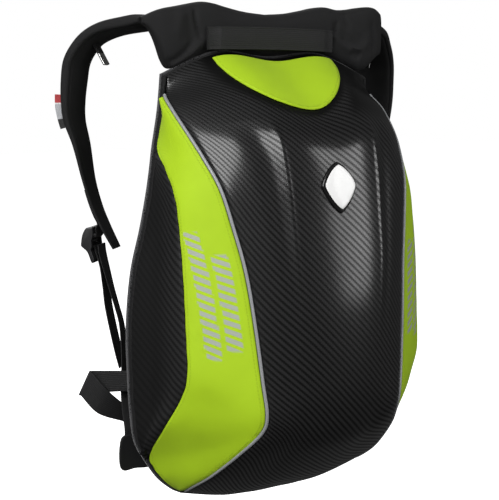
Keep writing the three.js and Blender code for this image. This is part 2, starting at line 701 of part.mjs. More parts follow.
// The ladder lock hangs below the strap's webbing: its side profile, a window
// through it and the bar that the webbing turns over
function ladderLockGeometry() {
  const flat = ({ out, down }) => new THREE.Vector2(lockDepth * out / 100, -lockLength * down / 100);
  const centre = flat(lockBar);
  const side = new THREE.Shape(lockProfile.map(flat));
  const body = new THREE.ExtrudeGeometry(side, { depth: lockWidth, bevelEnabled: false });
  const window = new THREE.BoxGeometry(4 * lockDepth, windowShare * lockLength, lockWidth - 2 * lockRail);
  window.translate(centre.x, centre.y, lockWidth / 2);
  const bar = new THREE.CylinderGeometry(barRadius, barRadius, lockWidth - lockRail, 10);
  bar.rotateX(Math.PI / 2).translate(centre.x, centre.y, lockWidth / 2);
  const geometry = geometryOf(solidOf(body).subtract(solidOf(window)).add(solidOf(bar)));
  const sideways = planeOut.clone().cross(vec(0, 0, 1));
  const place = new THREE.Matrix4().makeBasis(planeOut, vec(0, 0, 1), sideways);
  place.setPosition(planePoint(lockOut, lockTop).addScaledVector(sideways, -lockWidth / 2));
  return geometry.applyMatrix4(place);
}

// Webbing sewn on the strap's outer face, hooked through the ladder lock
function strapWebGeometry() {
  const lift = webThickness / 2 + seamGap;
  const sewn = sewnStations.map((t) => {
    const { middle, across, face, thick } = strapFrame(t);
    const on = middle.clone().addScaledVector(face, thick / 2 + lift);
    const wide = across.clone().multiplyScalar(webWidth / 2);
    return [on.clone().add(wide), on.clone().sub(wide)];
  });
  return ribbon([...sewn, ...inPlane(hookRoute.map(lockPoint))], webThickness);
}

// The adjuster's free tail, from its cut end up and over the lock's bar
function adjusterGeometry() {
  const tail = tailRoute.map(({ inward, down }) => planePoint(
    lockOut - tailSwing * inward / 100, lockTop - tailLength * down / 100));
  return ribbon(inPlane([...tail, ...overBarRoute.map(lockPoint)]), webThickness);
}

// The foot tab lies behind the bound edge, and the loaded run ends on it
const footTabMiddle = -(halfWidth - footTabInset);
const footTabFace = 2 * webThickness + 2 * seamGap;

function loadRunGeometry() {
  const start = planePoint(lockOut, lockTop);
  const end = vec(footTabMiddle, footTabFace + webThickness / 2 + seamGap, footTabHeight + footTabLength / 3);
  const middles = loadRunRoute.map(({ drop, side, back }) => vec(
    end.x + (start.x - end.x) * side / 100, end.y + (start.y - end.y) * back / 100,
    start.z + (end.z - start.z) * drop / 100));
  return ribbon(webEdges(middles, loadRunRoute.map(({ turn }) => turn * degrees)), webThickness);
}

function footTabGeometry() {
  const shape = new THREE.Shape(footTabCorners.map(({ across, up }) => new THREE.Vector2(
    footTabMiddle + footTabWidth * across / 100, footTabHeight + footTabLength * up / 100)));
  const plate = new THREE.ExtrudeGeometry(shape, { depth: 2 * webThickness, bevelEnabled: false });
  return plate.rotateX(Math.PI / 2).translate(0, footTabFace, 0);
}

// Half of the waist belt: a folded loop beside the pack, then a run to the buckle
function waistWebGeometry() {
  const turn = waistTurn * degrees;
  const out = vec(-Math.cos(turn), Math.sin(turn), 0), back = vec(Math.sin(turn), Math.cos(turn), 0);
  const root = vec(-(halfWidth - waistRootInset), waistRootBehind, 0);
  const height = (rise) => vec(0, 0, waistLevel + waistRise * rise / 100);
  const inner = -waistBuckleWidth / 2 - seamGap;
  const loop = waistLoopRoute.map(({ outUpper, outLower, behind, upper, lower }) => {
    const behindRoot = root.clone().addScaledVector(back, webThickness * behind / 100);
    const edge = (reach, rise) => behindRoot.clone()
      .addScaledVector(out, waistReach * reach / 100).add(height(rise));
    return [edge(outUpper, upper), edge(outLower, lower)];
  });
  const behindPack = waistBackRoute.map(({ side, behind, upper, lower }) => {
    const on = vec(inner + (root.x - inner) * side / 100, waistBehind * behind / 100, 0);
    return [upper, lower].map((rise) => on.clone().add(height(rise)));
  });
  return ribbon([...loop, ...behindPack], webThickness);
}

function waistBuckleGeometry() {
  const half = waistBuckleWidth / 2, high = waistBuckleHeight / 2, crest = high + 0.8 * waistBuckleCorner;
  const shape = new THREE.Shape();
  shape.moveTo(-half, waistBuckleCorner - high);
  shape.quadraticCurveTo(0, -crest, half, waistBuckleCorner - high);
  shape.lineTo(half, high - waistBuckleCorner);
  shape.quadraticCurveTo(0, crest, -half, high - waistBuckleCorner);
  const depth = waistBuckleThickness;
  const geometry = new THREE.ExtrudeGeometry(shape, { depth, bevelEnabled: false, curveSegments: 6 });
  return geometry.rotateX(Math.PI / 2).translate(0, waistBehind + depth / 2, waistLevel);
}

// A small flat tab in the strap's outer seam
function strapTabGeometry() {
  return loft(tabStations.map((t) => {
    const { middle, face, thick, across, width } = strapFrame(t);
    const rise = 0.91 * thick / 2 + 2 * seamGap;
    const foot = middle.clone().addScaledVector(face, rise).addScaledVector(across, -tabShift * width);
    const tip = foot.clone().addScaledVector(face, tabWidth);
    const thin = across.clone().multiplyScalar(tabThickness / 2);
    return [foot.clone().add(thin), tip.clone().add(thin), tip.clone().sub(thin), foot.clone().sub(thin)];
  }));
}

// The keeper for a chest strap hangs from the strap's inner face: a webbing loop
// with a steel bar across it
function keeperGeometry(from, to) {
  const { middle, face, thick, across } = strapFrame(keeperStation);
  const root = middle.clone().addScaledVector(face, -thick / 2 - seamGap);
  const drop = face.clone().multiplyScalar(-0.86).add(vec(0, 0, -0.35)).normalize();
  return ribbon([from, (from + to) / 2, to].map((share) => {
    const on = root.clone().addScaledVector(drop, share);
    const wide = across.clone().multiplyScalar(keeperWidth / 2);
    return [on.clone().add(wide), on.clone().sub(wide)];
  }), keeperThickness);
}

const pack = new THREE.Group();
pack.position.set(0, -padThickness, -seatHeight);

function addPiece(name, geometry, finish) {
  const mesh = new THREE.Mesh(geometry, new THREE.MeshStandardMaterial(palette[finish]));
  mesh.name = name;
  pack.add(mesh);
}

// A left piece and its mirror image on the right
function addPair(name, geometry, finish) {
  const flipped = geometry.index ? geometry.toNonIndexed() : geometry.clone();
  const position = flipped.attributes.position;
  const faces = [];
  for (let i = 0; i < position.count; i += 1) position.setX(i, -position.getX(i));
  for (let i = 0; i < position.count; i += 3) faces.push(i, i + 2, i + 1);
  flipped.setIndex(faces);
  addPiece(`${name}_left`, geometry, finish);
  addPiece(`${name}_right`, flipped, finish);
}

addPiece('shell', shellGeometry(), 'carbon');
addPiece('top_panel', topPanelGeometry(), 'bright');
addPiece('badge_base', badgeBaseGeometry(), 'badgeRim');
addPiece('badge_face', badgeFaceGeometry(), 'badgeFace');
addPair('side_panel', sidePanelGeometry(), 'bright');
addPair('gusset', gussetGeometry(), 'gusset');
addPair('piping', pipingGeometry(), 'reflective');
addPiece('edge_binding', bindingGeometry(), 'cloth');
addPiece('back_panel', backPanelGeometry(), 'cloth');
addPiece('yoke', yokeGeometry(), 'cloth');
addPiece('haul_handle', handleGeometry(), 'webbing');
addPair('shoulder_strap', strapGeometry(), 'cloth');
addPair('strap_webbing', strapWebGeometry(), 'webbing');
addPair('ladder_lock', ladderLockGeometry(), 'acetal');
addPair('adjuster_tail', adjusterGeometry(), 'webbing');
addPair('adjuster_run', loadRunGeometry(), 'webbing');
addPair('lower_anchor', footTabGeometry(), 'webbing');
addPair('waist_webbing', waistWebGeometry(), 'webbing');
addPiece('waist_buckle', waistBuckleGeometry(), 'acetal');
addPiece('strap_tab', strapTabGeometry(), 'tab');
const ringStart = keeperLoop + 2 * seamGap;
addPair('chest_loop', keeperGeometry(seamGap, seamGap + keeperLoop), 'webbing');
addPair('chest_ring', keeperGeometry(ringStart, ringStart + keeperRing), 'steel');

export default pack;
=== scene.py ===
"""Looks of a hard shell backpack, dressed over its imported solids.

The body is one smooth surface, worked out from a short table of sections: u runs
across it in eight steps, from the left back edge over the crown (4) to the right
back edge (8), and t runs down it in fifteen steps, from the top rim to the foot.
Shapes are worked out in millimetres in the body's own frame, where x runs to the
right, depth forward from the bound back edge and height up from the shell's foot,
and are put into the row frame in metres when a mesh is made.
"""
import logging
import math
from dataclasses import dataclass
from enum import Enum
from typing import Callable, Optional, Sequence, Union
import bpy
import numpy as np
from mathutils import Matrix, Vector


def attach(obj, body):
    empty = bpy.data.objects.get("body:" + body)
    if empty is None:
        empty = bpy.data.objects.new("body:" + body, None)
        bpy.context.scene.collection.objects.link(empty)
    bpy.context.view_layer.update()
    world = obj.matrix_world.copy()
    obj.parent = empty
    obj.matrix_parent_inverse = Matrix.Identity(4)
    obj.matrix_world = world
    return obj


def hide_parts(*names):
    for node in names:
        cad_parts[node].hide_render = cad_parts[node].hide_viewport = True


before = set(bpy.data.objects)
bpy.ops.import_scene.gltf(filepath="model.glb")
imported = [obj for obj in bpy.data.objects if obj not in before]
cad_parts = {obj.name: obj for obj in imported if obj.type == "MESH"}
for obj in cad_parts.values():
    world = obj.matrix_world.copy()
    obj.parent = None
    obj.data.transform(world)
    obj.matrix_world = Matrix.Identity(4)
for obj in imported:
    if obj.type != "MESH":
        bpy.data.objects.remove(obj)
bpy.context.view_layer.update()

Array = np.ndarray
Value = Union["Sock", float, tuple]
LOG = logging.getLogger("backpack")
BODY = "root"
MM = 0.001
SHARP_BEND = math.radians(38)


class Side(Enum):
    """The two hands of a paired piece, as the sign of its x."""

    LEFT = -1
    RIGHT = 1

    @property
    def word(self) -> str:
        """The side's word in a piece's name."""
        return self.name.lower()


# Shader maths


class Sock:
    """A shader socket that takes part in Python expressions."""

    def __init__(self, paint: "Paint", out: bpy.types.NodeSocket) -> None:
        """Keep the socket and the material that it belongs to."""
        self.paint = paint
        self.out = out

    def _math(self, operation: str, *values: Value) -> "Sock":
        """Add one Math node on this socket's value and the others."""
        node = self.paint.node("ShaderNodeMath", {"operation": operation}, dict(enumerate(values)))
        return Sock(self.paint, node.outputs[0])

    def __add__(self, other: Value) -> "Sock":
        """This value plus the other."""
        return self._math("ADD", self, other)

    __radd__ = __add__

    def __sub__(self, other: Value) -> "Sock":
        """This value less the other."""
        return self._math("SUBTRACT", self, other)

    def __rsub__(self, other: Value) -> "Sock":
        """The other value less this one."""
        return self._math("SUBTRACT", other, self)

    def __mul__(self, other: Value) -> "Sock":
        """This value times the other."""
        return self._math("MULTIPLY", self, other)

    __rmul__ = __mul__

    def __truediv__(self, other: Value) -> "Sock":
        """This value over the other."""
        return self._math("DIVIDE", self, other)

    def __gt__(self, other: Value) -> "Sock":
        """One where this value is above the other, else nought."""
        return self._math("GREATER_THAN", self, other)

    def __lt__(self, other: Value) -> "Sock":
        """One where this value is below the other, else nought."""
        return self._math("LESS_THAN", self, other)

    def fraction(self) -> "Sock":
        """The part of the value after the point, from 0 to 1."""
        return self._math("FRACT", self)

    def floor(self) -> "Sock":
        """The whole number below the value."""
        return self._math("FLOOR", self)

    def absolute(self) -> "Sock":
        """The value without its sign."""
        return self._math("ABSOLUTE", self)

    def sine(self) -> "Sock":
        """The sine of the value in radians."""
        return self._math("SINE", self)

    def ramp(self, low: float, high: float) -> "Sock":
        """A smooth step from 0 at low to 1 at high."""
        node = self.paint.node(
            "ShaderNodeMapRange",
            {"interpolation_type": "SMOOTHSTEP"},
            {"Value": self, "From Min": low, "From Max": high},
        )
        return Sock(self.paint, node.outputs[0])


class Paint:
    """A material under construction round one Principled shader."""

    def __init__(self, name: str) -> None:
        """Make an empty node material of that name."""
        self.material = bpy.data.materials.new(name)
        self.material.use_nodes = True
        self.tree = self.material.node_tree
        self.shader = self.tree.nodes["Principled BSDF"]

    def node(self, kind: str, settings: Optional[dict] = None, values: Optional[dict] = None) -> bpy.types.Node:
        """Add a node.

        Args:
            kind: The node's type.
            settings: Its own settings, set first.
            values: Its sockets by name or number, each a link or a constant.

        Returns:
            The new node.
        """
        node = self.tree.nodes.new(kind)
        for key, value in (settings or {}).items():
            setattr(node, key, value)
        for key, value in (values or {}).items():
            self.plug(node.inputs[key], value)
        return node

    def plug(self, socket: bpy.types.NodeSocket, value: Value) -> None:
        """Link a value to a socket, or write a constant into it."""
        if isinstance(value, Sock):
            self.tree.links.new(value.out, socket)
        elif isinstance(value, tuple):
            short = len(socket.default_value) - len(value)
            socket.default_value = (*value, *[1.0] * short)
        else:
            socket.default_value = value

    def set(self, **values: Value) -> None:
        """Write or link the shader's sockets; a name's underlines stand for blanks."""
        for key, value in values.items():
            self.plug(self.shader.inputs[key.replace("_", " ")], value)

    def place(self) -> "Sock":
        """Object coordinates, in metres in the row frame."""
        return Sock(self, self.node("ShaderNodeTexCoord").outputs["Object"])

    def uv(self) -> tuple["Sock", "Sock"]:
        """The two coordinates of a piece's own map, in millimetres."""
        mapped = self.node("ShaderNodeUVMap", {"uv_map": "laid"})
        parts = self.node("ShaderNodeSeparateXYZ", {}, {0: Sock(self, mapped.outputs[0])})
        return Sock(self, parts.outputs[0]), Sock(self, parts.outputs[1])

    def attribute(self, name: str) -> "Sock":
        """A number that a piece carries at its points."""
        return Sock(self, self.node("ShaderNodeAttribute", {"attribute_name": name}).outputs["Fac"])

    def noise(self, scale: float, detail: float = 3.0) -> "Sock":
        """Smooth noise from 0 to 1; scale is in waves a metre on Object coordinates."""
        values = {"Vector": self.place(), "Scale": scale, "Detail": detail}
        return Sock(self, self.node("ShaderNodeTexNoise", {}, values).outputs[0])

    def threads(self, way: str, scale: float, distortion: float, detail: float) -> "Sock":
        """Fine wavy threads from 0 to 1, stacked along one axis of the Object coordinates."""
        values = {"Vector": self.place(), "Scale": scale, "Distortion": distortion, "Detail": detail}
        return Sock(self, self.node("ShaderNodeTexWave", {"bands_direction": way}, values).outputs["Fac"])

    def cells(self, scale: float, randomness: float) -> "Sock":
        """Distance from the middles of small cells on Object coordinates."""
        values = {"Vector": self.place(), "Scale": scale, "Randomness": randomness}
        return Sock(self, self.node("ShaderNodeTexVoronoi", {}, values).outputs["Distance"])

    def mix(self, factor: Value, first: Value, second: Value) -> "Sock":
        """A colour between two, by a factor."""
        node = self.node("ShaderNodeMix", {"data_type": "RGBA"}, {0: factor, 6: first, 7: second})
        return Sock(self, node.outputs[2])

    def bump(self, height: "Sock", distance: float) -> None:
        """Feed the shader's normal from a height in units of the distance, in metres."""
        node = self.node("ShaderNodeBump", {}, {"Strength": 1.0, "Distance": distance, "Height": height})
        self.set(Normal=Sock(self, node.outputs[0]))


# Meshes


def placed(points: Array) -> Array:
    """Body frame (x, depth, height) in millimetres to row frame in metres."""
    x, depth, height = np.moveaxis(np.asarray(points, float), -1, 0)
    return np.stack([x, -depth - PACK.pad, height - PACK.seat], -1) * MM


def make_mesh(
    name: str,
    points: Array,
    faces: Sequence[Array],
    uv: Optional[Array] = None,
    numbers: Optional[dict] = None,
) -> bpy.types.Object:
    """Make an object of points and faces.

    Args:
        name: The piece's name.
        points: Row frame points in metres, one a row.
        faces: Arrays of corner numbers, one array for each count of corners.
        uv: Two map coordinates in millimetres for each point.
        numbers: Named numbers that the points carry.

    Returns:
        The object, with its faces pointing outwards.
    """
    points = np.asarray(points, np.float32).reshape(-1, 3)
    volume = 0.0
    for group in faces:
        first = points[group[:, 0]].astype(float)
        for k in range(1, group.shape[1] - 1):
            second, third = points[group[:, k]], points[group[:, k + 1]]
            volume += float(np.einsum("ij,ij->", first, np.cross(second, third)))
    groups = [group if volume > 0 else group[:, ::-1] for group in faces]
    corners = np.concatenate([group.ravel() for group in groups]).astype(np.int32)
    counts = np.concatenate([np.full(len(group), group.shape[1]) for group in groups])
    mesh = bpy.data.meshes.new(name)
    mesh.vertices.add(len(points))
    mesh.vertices.foreach_set("co", points.ravel())
    mesh.loops.add(len(corners))
    mesh.loops.foreach_set("vertex_index", corners)
    mesh.polygons.add(len(counts))
    starts = np.concatenate([[0], np.cumsum(counts)[:-1]]).astype(np.int32)
    mesh.polygons.foreach_set("loop_start", starts)
    mesh.polygons.foreach_set("use_smooth", np.ones(len(counts), bool))
    mesh.update(calc_edges=True)
    mesh.validate()
    if uv is not None:
        layer = mesh.uv_layers.new(name="laid")
        index = np.empty(len(mesh.loops), np.int32)
        mesh.loops.foreach_get("vertex_index", index)
        layer.data.foreach_set("uv", np.asarray(uv, np.float32).reshape(-1, 2)[index].ravel())
    for key, value in (numbers or {}).items():
        attribute = mesh.attributes.new(key, "FLOAT", "POINT")
        attribute.data.foreach_set("value", np.asarray(value, np.float32).ravel())
    mesh.set_sharp_from_angle(angle=SHARP_BEND)
    piece = bpy.data.objects.new(name, mesh)
    bpy.context.collection.objects.link(piece)
    return piece


def ring_faces(rings: int, count: int, closed: bool) -> list[Array]:
    """Faces of a skin through rings of equal count, its ends closed by strips.

    Args:
        rings: How many rings there are.
        count: How many points each ring has, an even number.
        closed: Whether the last ring joins the first.

    Returns:
        One array of four-cornered faces.
    """
    r, c = np.meshgrid(np.arange(rings if closed else rings - 1), np.arange(count), indexing="ij")
    below, beside = (r + 1) % rings, (c + 1) % count
    skin = np.stack([r * count + c, r * count + beside, below * count + beside, below * count + c], -1)
    faces = [skin.reshape(-1, 4)]
    if not closed:
        a = np.arange(count // 2 - 1)
        for start, turned in ((0, True), ((rings - 1) * count, False)):
            cap = np.stack([a, a + 1, count - 2 - a, count - 1 - a], -1) + start
            faces.append(cap[:, ::-1] if turned else cap)
    return [np.concatenate(faces)]


def skin(name: str, rings: Array, uv: Optional[Array] = None, closed: bool = False, **more) -> bpy.types.Object:
    """A closed skin through rings of body-frame points, shaped (rings, count, 3)."""
    return make_mesh(name, placed(rings), ring_faces(rings.shape[0], rings.shape[1], closed), uv, **more)


def finish_piece(piece: bpy.types.Object, finish: "Finish", nodes: Sequence[str] = ()) -> bpy.types.Object:
    """Give a piece the material named for its slot, let it ride and stand for its nodes."""
    piece.data.materials.clear()
    piece.data.materials.append(finish.material())
    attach(piece, BODY)
    if nodes:
        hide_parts(*nodes)
    LOG.info("%s: %d points", piece.name, len(piece.data.vertices))
    return piece


def band(name: str, edges: Array, thickness: float, steps: int = 14, hem: float = 0.25) -> bpy.types.Object:
    """A flat webbing band between two edge lines.

    The edge lines are smooth curves through their points; a flat rounded section
    is carried along the middle between them.

    Args:
        name: The piece's name.
        edges: Pairs of body-frame points, shaped (count, 2, 3).
        thickness: The webbing's thickness.
        steps: How many sections stand between two pairs.
        hem: Power of the section's rounding; small is flat with crisp edges.

    Returns:
        The piece, with lengths across and along on its map.
    """
    edges = np.asarray(edges, float)
    t = np.linspace(0, len(edges) - 1, steps * (len(edges) - 1) + 1)
    upper, lower = along(edges[:, 0], t), along(edges[:, 1], t)
    middle, wide = (upper + lower) / 2, (lower - upper) / 2
    way = unit(np.gradient(middle, axis=0))
    face = unit(np.cross(way, wide))
    c, s = superellipse(24, hem, 0.5)
    rings = middle[:, None] + wide[:, None] * c[:, None] + face[:, None] * s[:, None] * thickness / 2
    half = np.linalg.norm(wide, axis=-1)
    uv = grid(c * half[:, None], lengths(middle)[:, None])
    return skin(name, rings, uv)


def extruded(name: str, outline: Array, along_width: Array, inset: Array, place: Callable) -> bpy.types.Object:
    """A closed outline carried along a width, with rounded ends.

    Args:
        name: The piece's name.
        outline: Corners of the outline, smoothed by a curve through them.
        along_width: Places of the sections along the width.
        inset: How far each section shrinks inwards.
        place: Turns outline x, outline y and width into body-frame points.

    Returns:
        The piece, its ends closed by one flat face each.
    """
    outline = np.asarray(outline, float)
    loop = np.concatenate([outline[-2:], outline, outline[:3]])
    smooth = along(loop, np.linspace(2, 2 + len(outline), 6 * len(outline), endpoint=False))
    way = unit(np.roll(smooth, -1, 0) - np.roll(smooth, 1, 0))
    inward = np.stack([-way[:, 1], way[:, 0]], -1)
    area = np.sum(smooth[:, 0] * np.roll(smooth[:, 1], -1) - smooth[:, 1] * np.roll(smooth[:, 0], -1))
    inward = inward * (1 if area > 0 else -1)
    rings = smooth[None] + inward[None] * inset[:, None, None]
    points = place(rings[..., 0], rings[..., 1], np.broadcast_to(along_width[:, None], rings.shape[:2]))
    count, levels = len(smooth), len(along_width)
    faces = ring_faces(levels, count, False)[0][: (levels - 1) * count]
    ends = np.stack([np.arange(count)[::-1], np.arange(count) + (levels - 1) * count])
    return make_mesh(name, placed(points), [faces, ends])


def joined(name: str, parts: Sequence[bpy.types.Object]) -> bpy.types.Object:
    """Several separate skins as one piece."""
    with bpy.context.temp_override(active_object=parts[0], selected_editable_objects=list(parts)):
        bpy.ops.object.join()
    parts[0].name = name
    parts[0].data.name = name
    return parts[0]


# Curves


def catmull(f: Array) -> Array:
    """Weights of four neighbouring points at a share f between the middle two."""
    f2, f3 = f * f, f * f * f
    return 0.5 * np.stack([-f + 2 * f2 - f3, 2 - 5 * f2 + 3 * f3, f + 4 * f2 - 3 * f3, -f2 + f3], -1)


def along(points: Array, t: Array) -> Array:
    """Points of a smooth curve through the rows, by running index."""
    points = np.asarray(points, float)
    padded = np.concatenate([[2 * points[0] - points[1]], points, [2 * points[-1] - points[-2]]])
    i = np.clip(np.floor(t).astype(int), 0, len(points) - 2)
    weights = catmull(t - i)
    return sum(weights[..., k, None] * padded[i + k] for k in range(4))


def unit(vectors: Array) -> Array:
    """The vectors at length one."""
    return vectors / np.maximum(np.linalg.norm(vectors, axis=-1, keepdims=True), 1e-9)


def lengths(points: Array, axis: int = 0) -> Array:
    """Running length along a line of points, from nought."""
    steps = np.linalg.norm(np.diff(points, axis=axis), axis=-1)
    start = np.zeros_like(np.take(steps, [0], axis))
    return np.concatenate([start, np.cumsum(steps, axis)], axis)


def grid(*values: Array) -> Array:
    """Several coordinates as one array of points, each spread over the others."""
    return np.stack(np.broadcast_arrays(*values), -1)


def both_faces(values: Array) -> Array:
    """Values over an outer face, and the same back across the inner one."""
    return np.concatenate([values, values[:, ::-1]], 1)


def level_way(turn: Array) -> Array:
    """Level directions turned from the x axis towards the wearer, in radians."""
    return np.stack([np.cos(turn), -np.sin(turn), np.zeros_like(turn)], -1)


def edge_pairs(middle: Array, half: Array) -> Array:
    """The two edge points of a band at each of its middles."""
    return np.stack([middle + half, middle - half], 1)


def smoothstep(value: Array, low: float, high: float) -> Array:
    """A smooth step from 0 at low to 1 at high."""
    share = np.clip((value - low) / (high - low), 0, 1)
    return share * share * (3 - 2 * share)


def superellipse(count: int, across: float, through: float) -> tuple[Array, Array]:
    """Unit ring of a rounded section: cosine and sine, each to its own power."""
    angle = (np.arange(count) + 0.5) / count * 2 * np.pi
    c = np.sign(np.cos(angle)) * np.abs(np.cos(angle)) ** across
    s = np.sign(np.sin(angle)) * np.abs(np.sin(angle)) ** through
    return c, s


# The body's smooth surface

SECTIONS = (
    # side, depth and height in percent for the edge, ridge, crown, band and back
    ((75.5, 7.5, 95), (38, 7.5, 100), (0, 7.5, 99), (75.5, 7.5, 95), (75.5, 7.5, 95)),
    ((77.5, 9.5, 91.5), (38, 28, 96), (0, 32.5, 94.5), (76.5, 7.5, 91), (76.5, 7.5, 91)),
    ((78.5, 23.5, 88), (37, 49.5, 91), (0, 56, 89), (78, 7.5, 86.5), (78, 7.5, 86.5)),
    ((76, 40, 83), (35, 66, 86), (0, 71.5, 85), (82, 8.5, 80), (81.5, 7.5, 79.5)),
    ((72.5, 52, 78.5), (33.5, 76.5, 81.5), (0, 80.5, 81), (85.5, 26, 76), (83, 7.5, 75.5)),
    ((67.5, 64, 72.5), (32.5, 82.5, 74.5), (0, 86.5, 74.5), (86.5, 41, 70.5), (85.5, 7.5, 70)),
    ((62.5, 71, 64.5), (31.5, 87, 66.5), (0, 90.5, 66.5), (86.5, 47, 63.5), (90, 7.5, 62.5)),
    ((57.5, 77, 55.5), (30.5, 91.5, 57), (0, 95, 57), (86.5, 51.5, 54.5), (96.5, 7.5, 53.5)),
    ((54, 82, 44.5), (27, 95.5, 46), (0, 99, 46), (86.5, 54.5, 43.5), (100, 7.5, 42.5)),
    ((51, 85.5, 33.5), (24.5, 96.5, 34), (0, 100, 34), (86.5, 56, 34.5), (100, 7.5, 32)),
    ((49, 87, 27), (23.5, 94.5, 26.5), (0, 97.5, 26), (87.5, 49.5, 29), (99, 7.5, 23.5)),
    ((49.5, 83, 23), (23.5, 88, 20.5), (0, 90.5, 20), (91.5, 34, 21.5), (96.5, 7.5, 16.5)),
    ((55, 69.5, 18), (26, 72, 15), (0, 74, 14.5), (90, 8.5, 12.5), (90, 7.5, 12)),
    ((62.5, 43.5, 10.5), (29.5, 44.5, 7.5), (0, 46, 7), (81.5, 7.5, 7.5), (81.5, 7.5, 7.5)),
    ((66.5, 21, 5.5), (32, 21, 2.5), (0, 22.5, 2.5), (72.5, 7.5, 4.5), (72.5, 7.5, 4.5)),
    ((65, 7.5, 3), (33, 7.5, 0.5), (0, 7.5, 0), (65, 7.5, 3), (65, 7.5, 3)),
)


@dataclass(frozen=True)
class PackBody:
    """The smooth surface that the shell, panels, gussets and seams lie on.

    A point is the Catmull-Rom blend of four table rows down the body, taken along
    four neighbouring lines across it. Two valleys outside the ridges are pressed
    in along the surface's own direction, and each ridge carries a thin bead.
    """

    width: float = 313.0
    depth: float = 154.5
    height: float = 456.0
    groove: float = 3.0
    bead: float = 1.4
    bead_width: float = 0.05
    pad: float = 10.0
    seat: float = 228.0
    rim_share: float = 0.075
    crown: int = 4
    lines: int = 8

    @property
    def last(self) -> int:
        """The running number of the foot's section."""
        return len(SECTIONS) - 1

    @property
    def rim_depth(self) -> float:
        """How far the shell's rim stands before the bound back edge."""
        return self.rim_share * self.depth

    def control(self) -> Array:
        """The table as points, with one extrapolated row and line on each side."""
        edge, ridge, crown, band, back = np.moveaxis(np.array(SECTIONS, float), 1, 0)
        left = np.stack([back, band, edge, ridge])
        left = left * [-self.width / 200, self.depth / 100, self.height / 100]
        middle = crown[None] * [self.width / 200, self.depth / 100, self.height / 100]
        right = left[::-1] * [-1, 1, 1]
        lines = np.concatenate([left, middle, right])
        lines = np.concatenate([2 * lines[:1] - lines[1:2], lines, 2 * lines[-1:] - lines[-2:-1]])
        return np.concatenate([2 * lines[:, :1] - lines[:, 1:2], lines, 2 * lines[:, -1:] - lines[:, -2:-1]], 1)

    def smooth(self, u: Array, t: Array) -> Array:
        """Points of the surface before its valleys, never behind the rim."""
        u, t = np.broadcast_arrays(np.asarray(u, float), np.asarray(t, float))
        table = self.control()
        i = np.clip(np.floor(u).astype(int), 0, self.lines - 1)
        j = np.clip(np.floor(t).astype(int), 0, self.last - 1)
        across, down = catmull(u - i), catmull(t - j)
        point = sum(
            across[..., a, None] * down[..., b, None] * table[i + a, j + b] for a in range(4) for b in range(4)
        )
        point[..., 1] = np.maximum(point[..., 1], self.rim_depth)
        return point

    def normal(self, u: Array, t: Array) -> Array:
        """Outward directions, turned into the rim's plane near the back edge."""
        u, t = np.broadcast_arrays(np.asarray(u, float), np.asarray(t, float))
        h = 0.02
        across = self.smooth(np.minimum(u + h, self.lines), t) - self.smooth(np.maximum(u - h, 0), t)
        down = self.smooth(u, np.minimum(t + h, self.last)) - self.smooth(u, np.maximum(t - h, 0))
        normal = unit(np.cross(across, down))
        normal[..., 1] *= np.clip((self.smooth(u, t)[..., 1] - self.rim_depth) / 9, 0, 1)
        return unit(normal)

    def relief(self, u: Array, t: Array) -> Array:
        """Depth of the valleys less the height of the beads on the ridges."""
        outward = np.abs(u - self.crown) - 1
        width = 0.34 - 0.02 * t
        along_body = np.clip((t - 2.9) / 0.8, 0, 1) * np.clip((8.6 - t) / 3.5, 0, 1)
        valley = self.groove * np.exp(-(((outward - width) / (0.62 * width)) ** 2))
        bead = self.bead * np.exp(-((outward / self.bead_width) ** 2))
        return along_body * (valley - bead)

    def point(self, u: Array, t: Array, lift: Union[float, Array] = 0.0) -> Array:
        """Points of the finished surface, raised by lift."""
        return self.smooth(u, t) + self.normal(u, t) * (lift - self.relief(u, t))[..., None]

    def across_share(self, u: float, t: Array, distance: float) -> Array:
        """Share of one step across that a distance takes from a line."""
        probe = 0.04
        ahead = self.smooth(u + math.copysign(probe, distance), t)
        return probe * distance / np.maximum(0.5, np.linalg.norm(ahead - self.smooth(u, t), axis=-1))

    def laid(self, u: Array, t: Array) -> Array:
        """Lengths across from the middle column and down from the first row."""
        point = self.smooth(u, t[:, None])
        middle = point.shape[1] // 2
        across = lengths(point, 1)
        return grid(across - across[:, middle, None], lengths(point[:, middle])[:, None])

    def wall(
        self,
        us: Array,
        t: Array,
        thickness: float,
        lift: Array,
        towards: tuple[float, float],
    ) -> Array:
        """Rings of a wall: its outer face and back across its inner one.

        Args:
            us: Lines across at each level, shaped (levels, count).
            t: The levels.
            thickness: The wall's thickness.
            lift: Height of the outer face over the surface.
            towards: Lines whose directions the two seam edges follow inwards.

        Returns:
            Points shaped (levels, twice the count, 3).
        """
        levels = np.broadcast_to(t[:, None], us.shape)
        outer = self.point(us, levels, lift)
        seam = us.copy()
        seam[:, 0], seam[:, -1] = towards
        inner = self.point(us, levels) - self.normal(seam, levels) * thickness
        inner[..., 1] = np.maximum(inner[..., 1], self.rim_depth)
        return np.concatenate([outer, inner[:, ::-1]], 1)

    def rim(self, step: float = 0.1) -> Array:
        """The rim's outline as a closed loop of (x, height), from the top left."""
        t = np.arange(0, self.last + step / 2, step)
        side = self.smooth(0.0, t)
        across = np.linspace(2.02, 5.98, 90)
        foot, top = self.smooth(across, float(self.last)), self.smooth(across, 0.0)[::-1]
        loop = np.concatenate([side, foot, side[::-1] * [-1, 1, 1], top])[:, [0, 2]]
        length = lengths(loop)
        keep = np.concatenate([[True], np.diff(length) > 0.2])
        loop, length = loop[keep], length[keep]
        whole = length[-1] + np.linalg.norm(loop[0] - loop[-1])
        even = np.linspace(0, whole, 640, endpoint=False)
        closed, length = np.concatenate([loop, loop[:1]]), np.append(length, whole)
        return np.stack([np.interp(even, length, closed[:, 0]), np.interp(even, length, closed[:, 1])], -1)


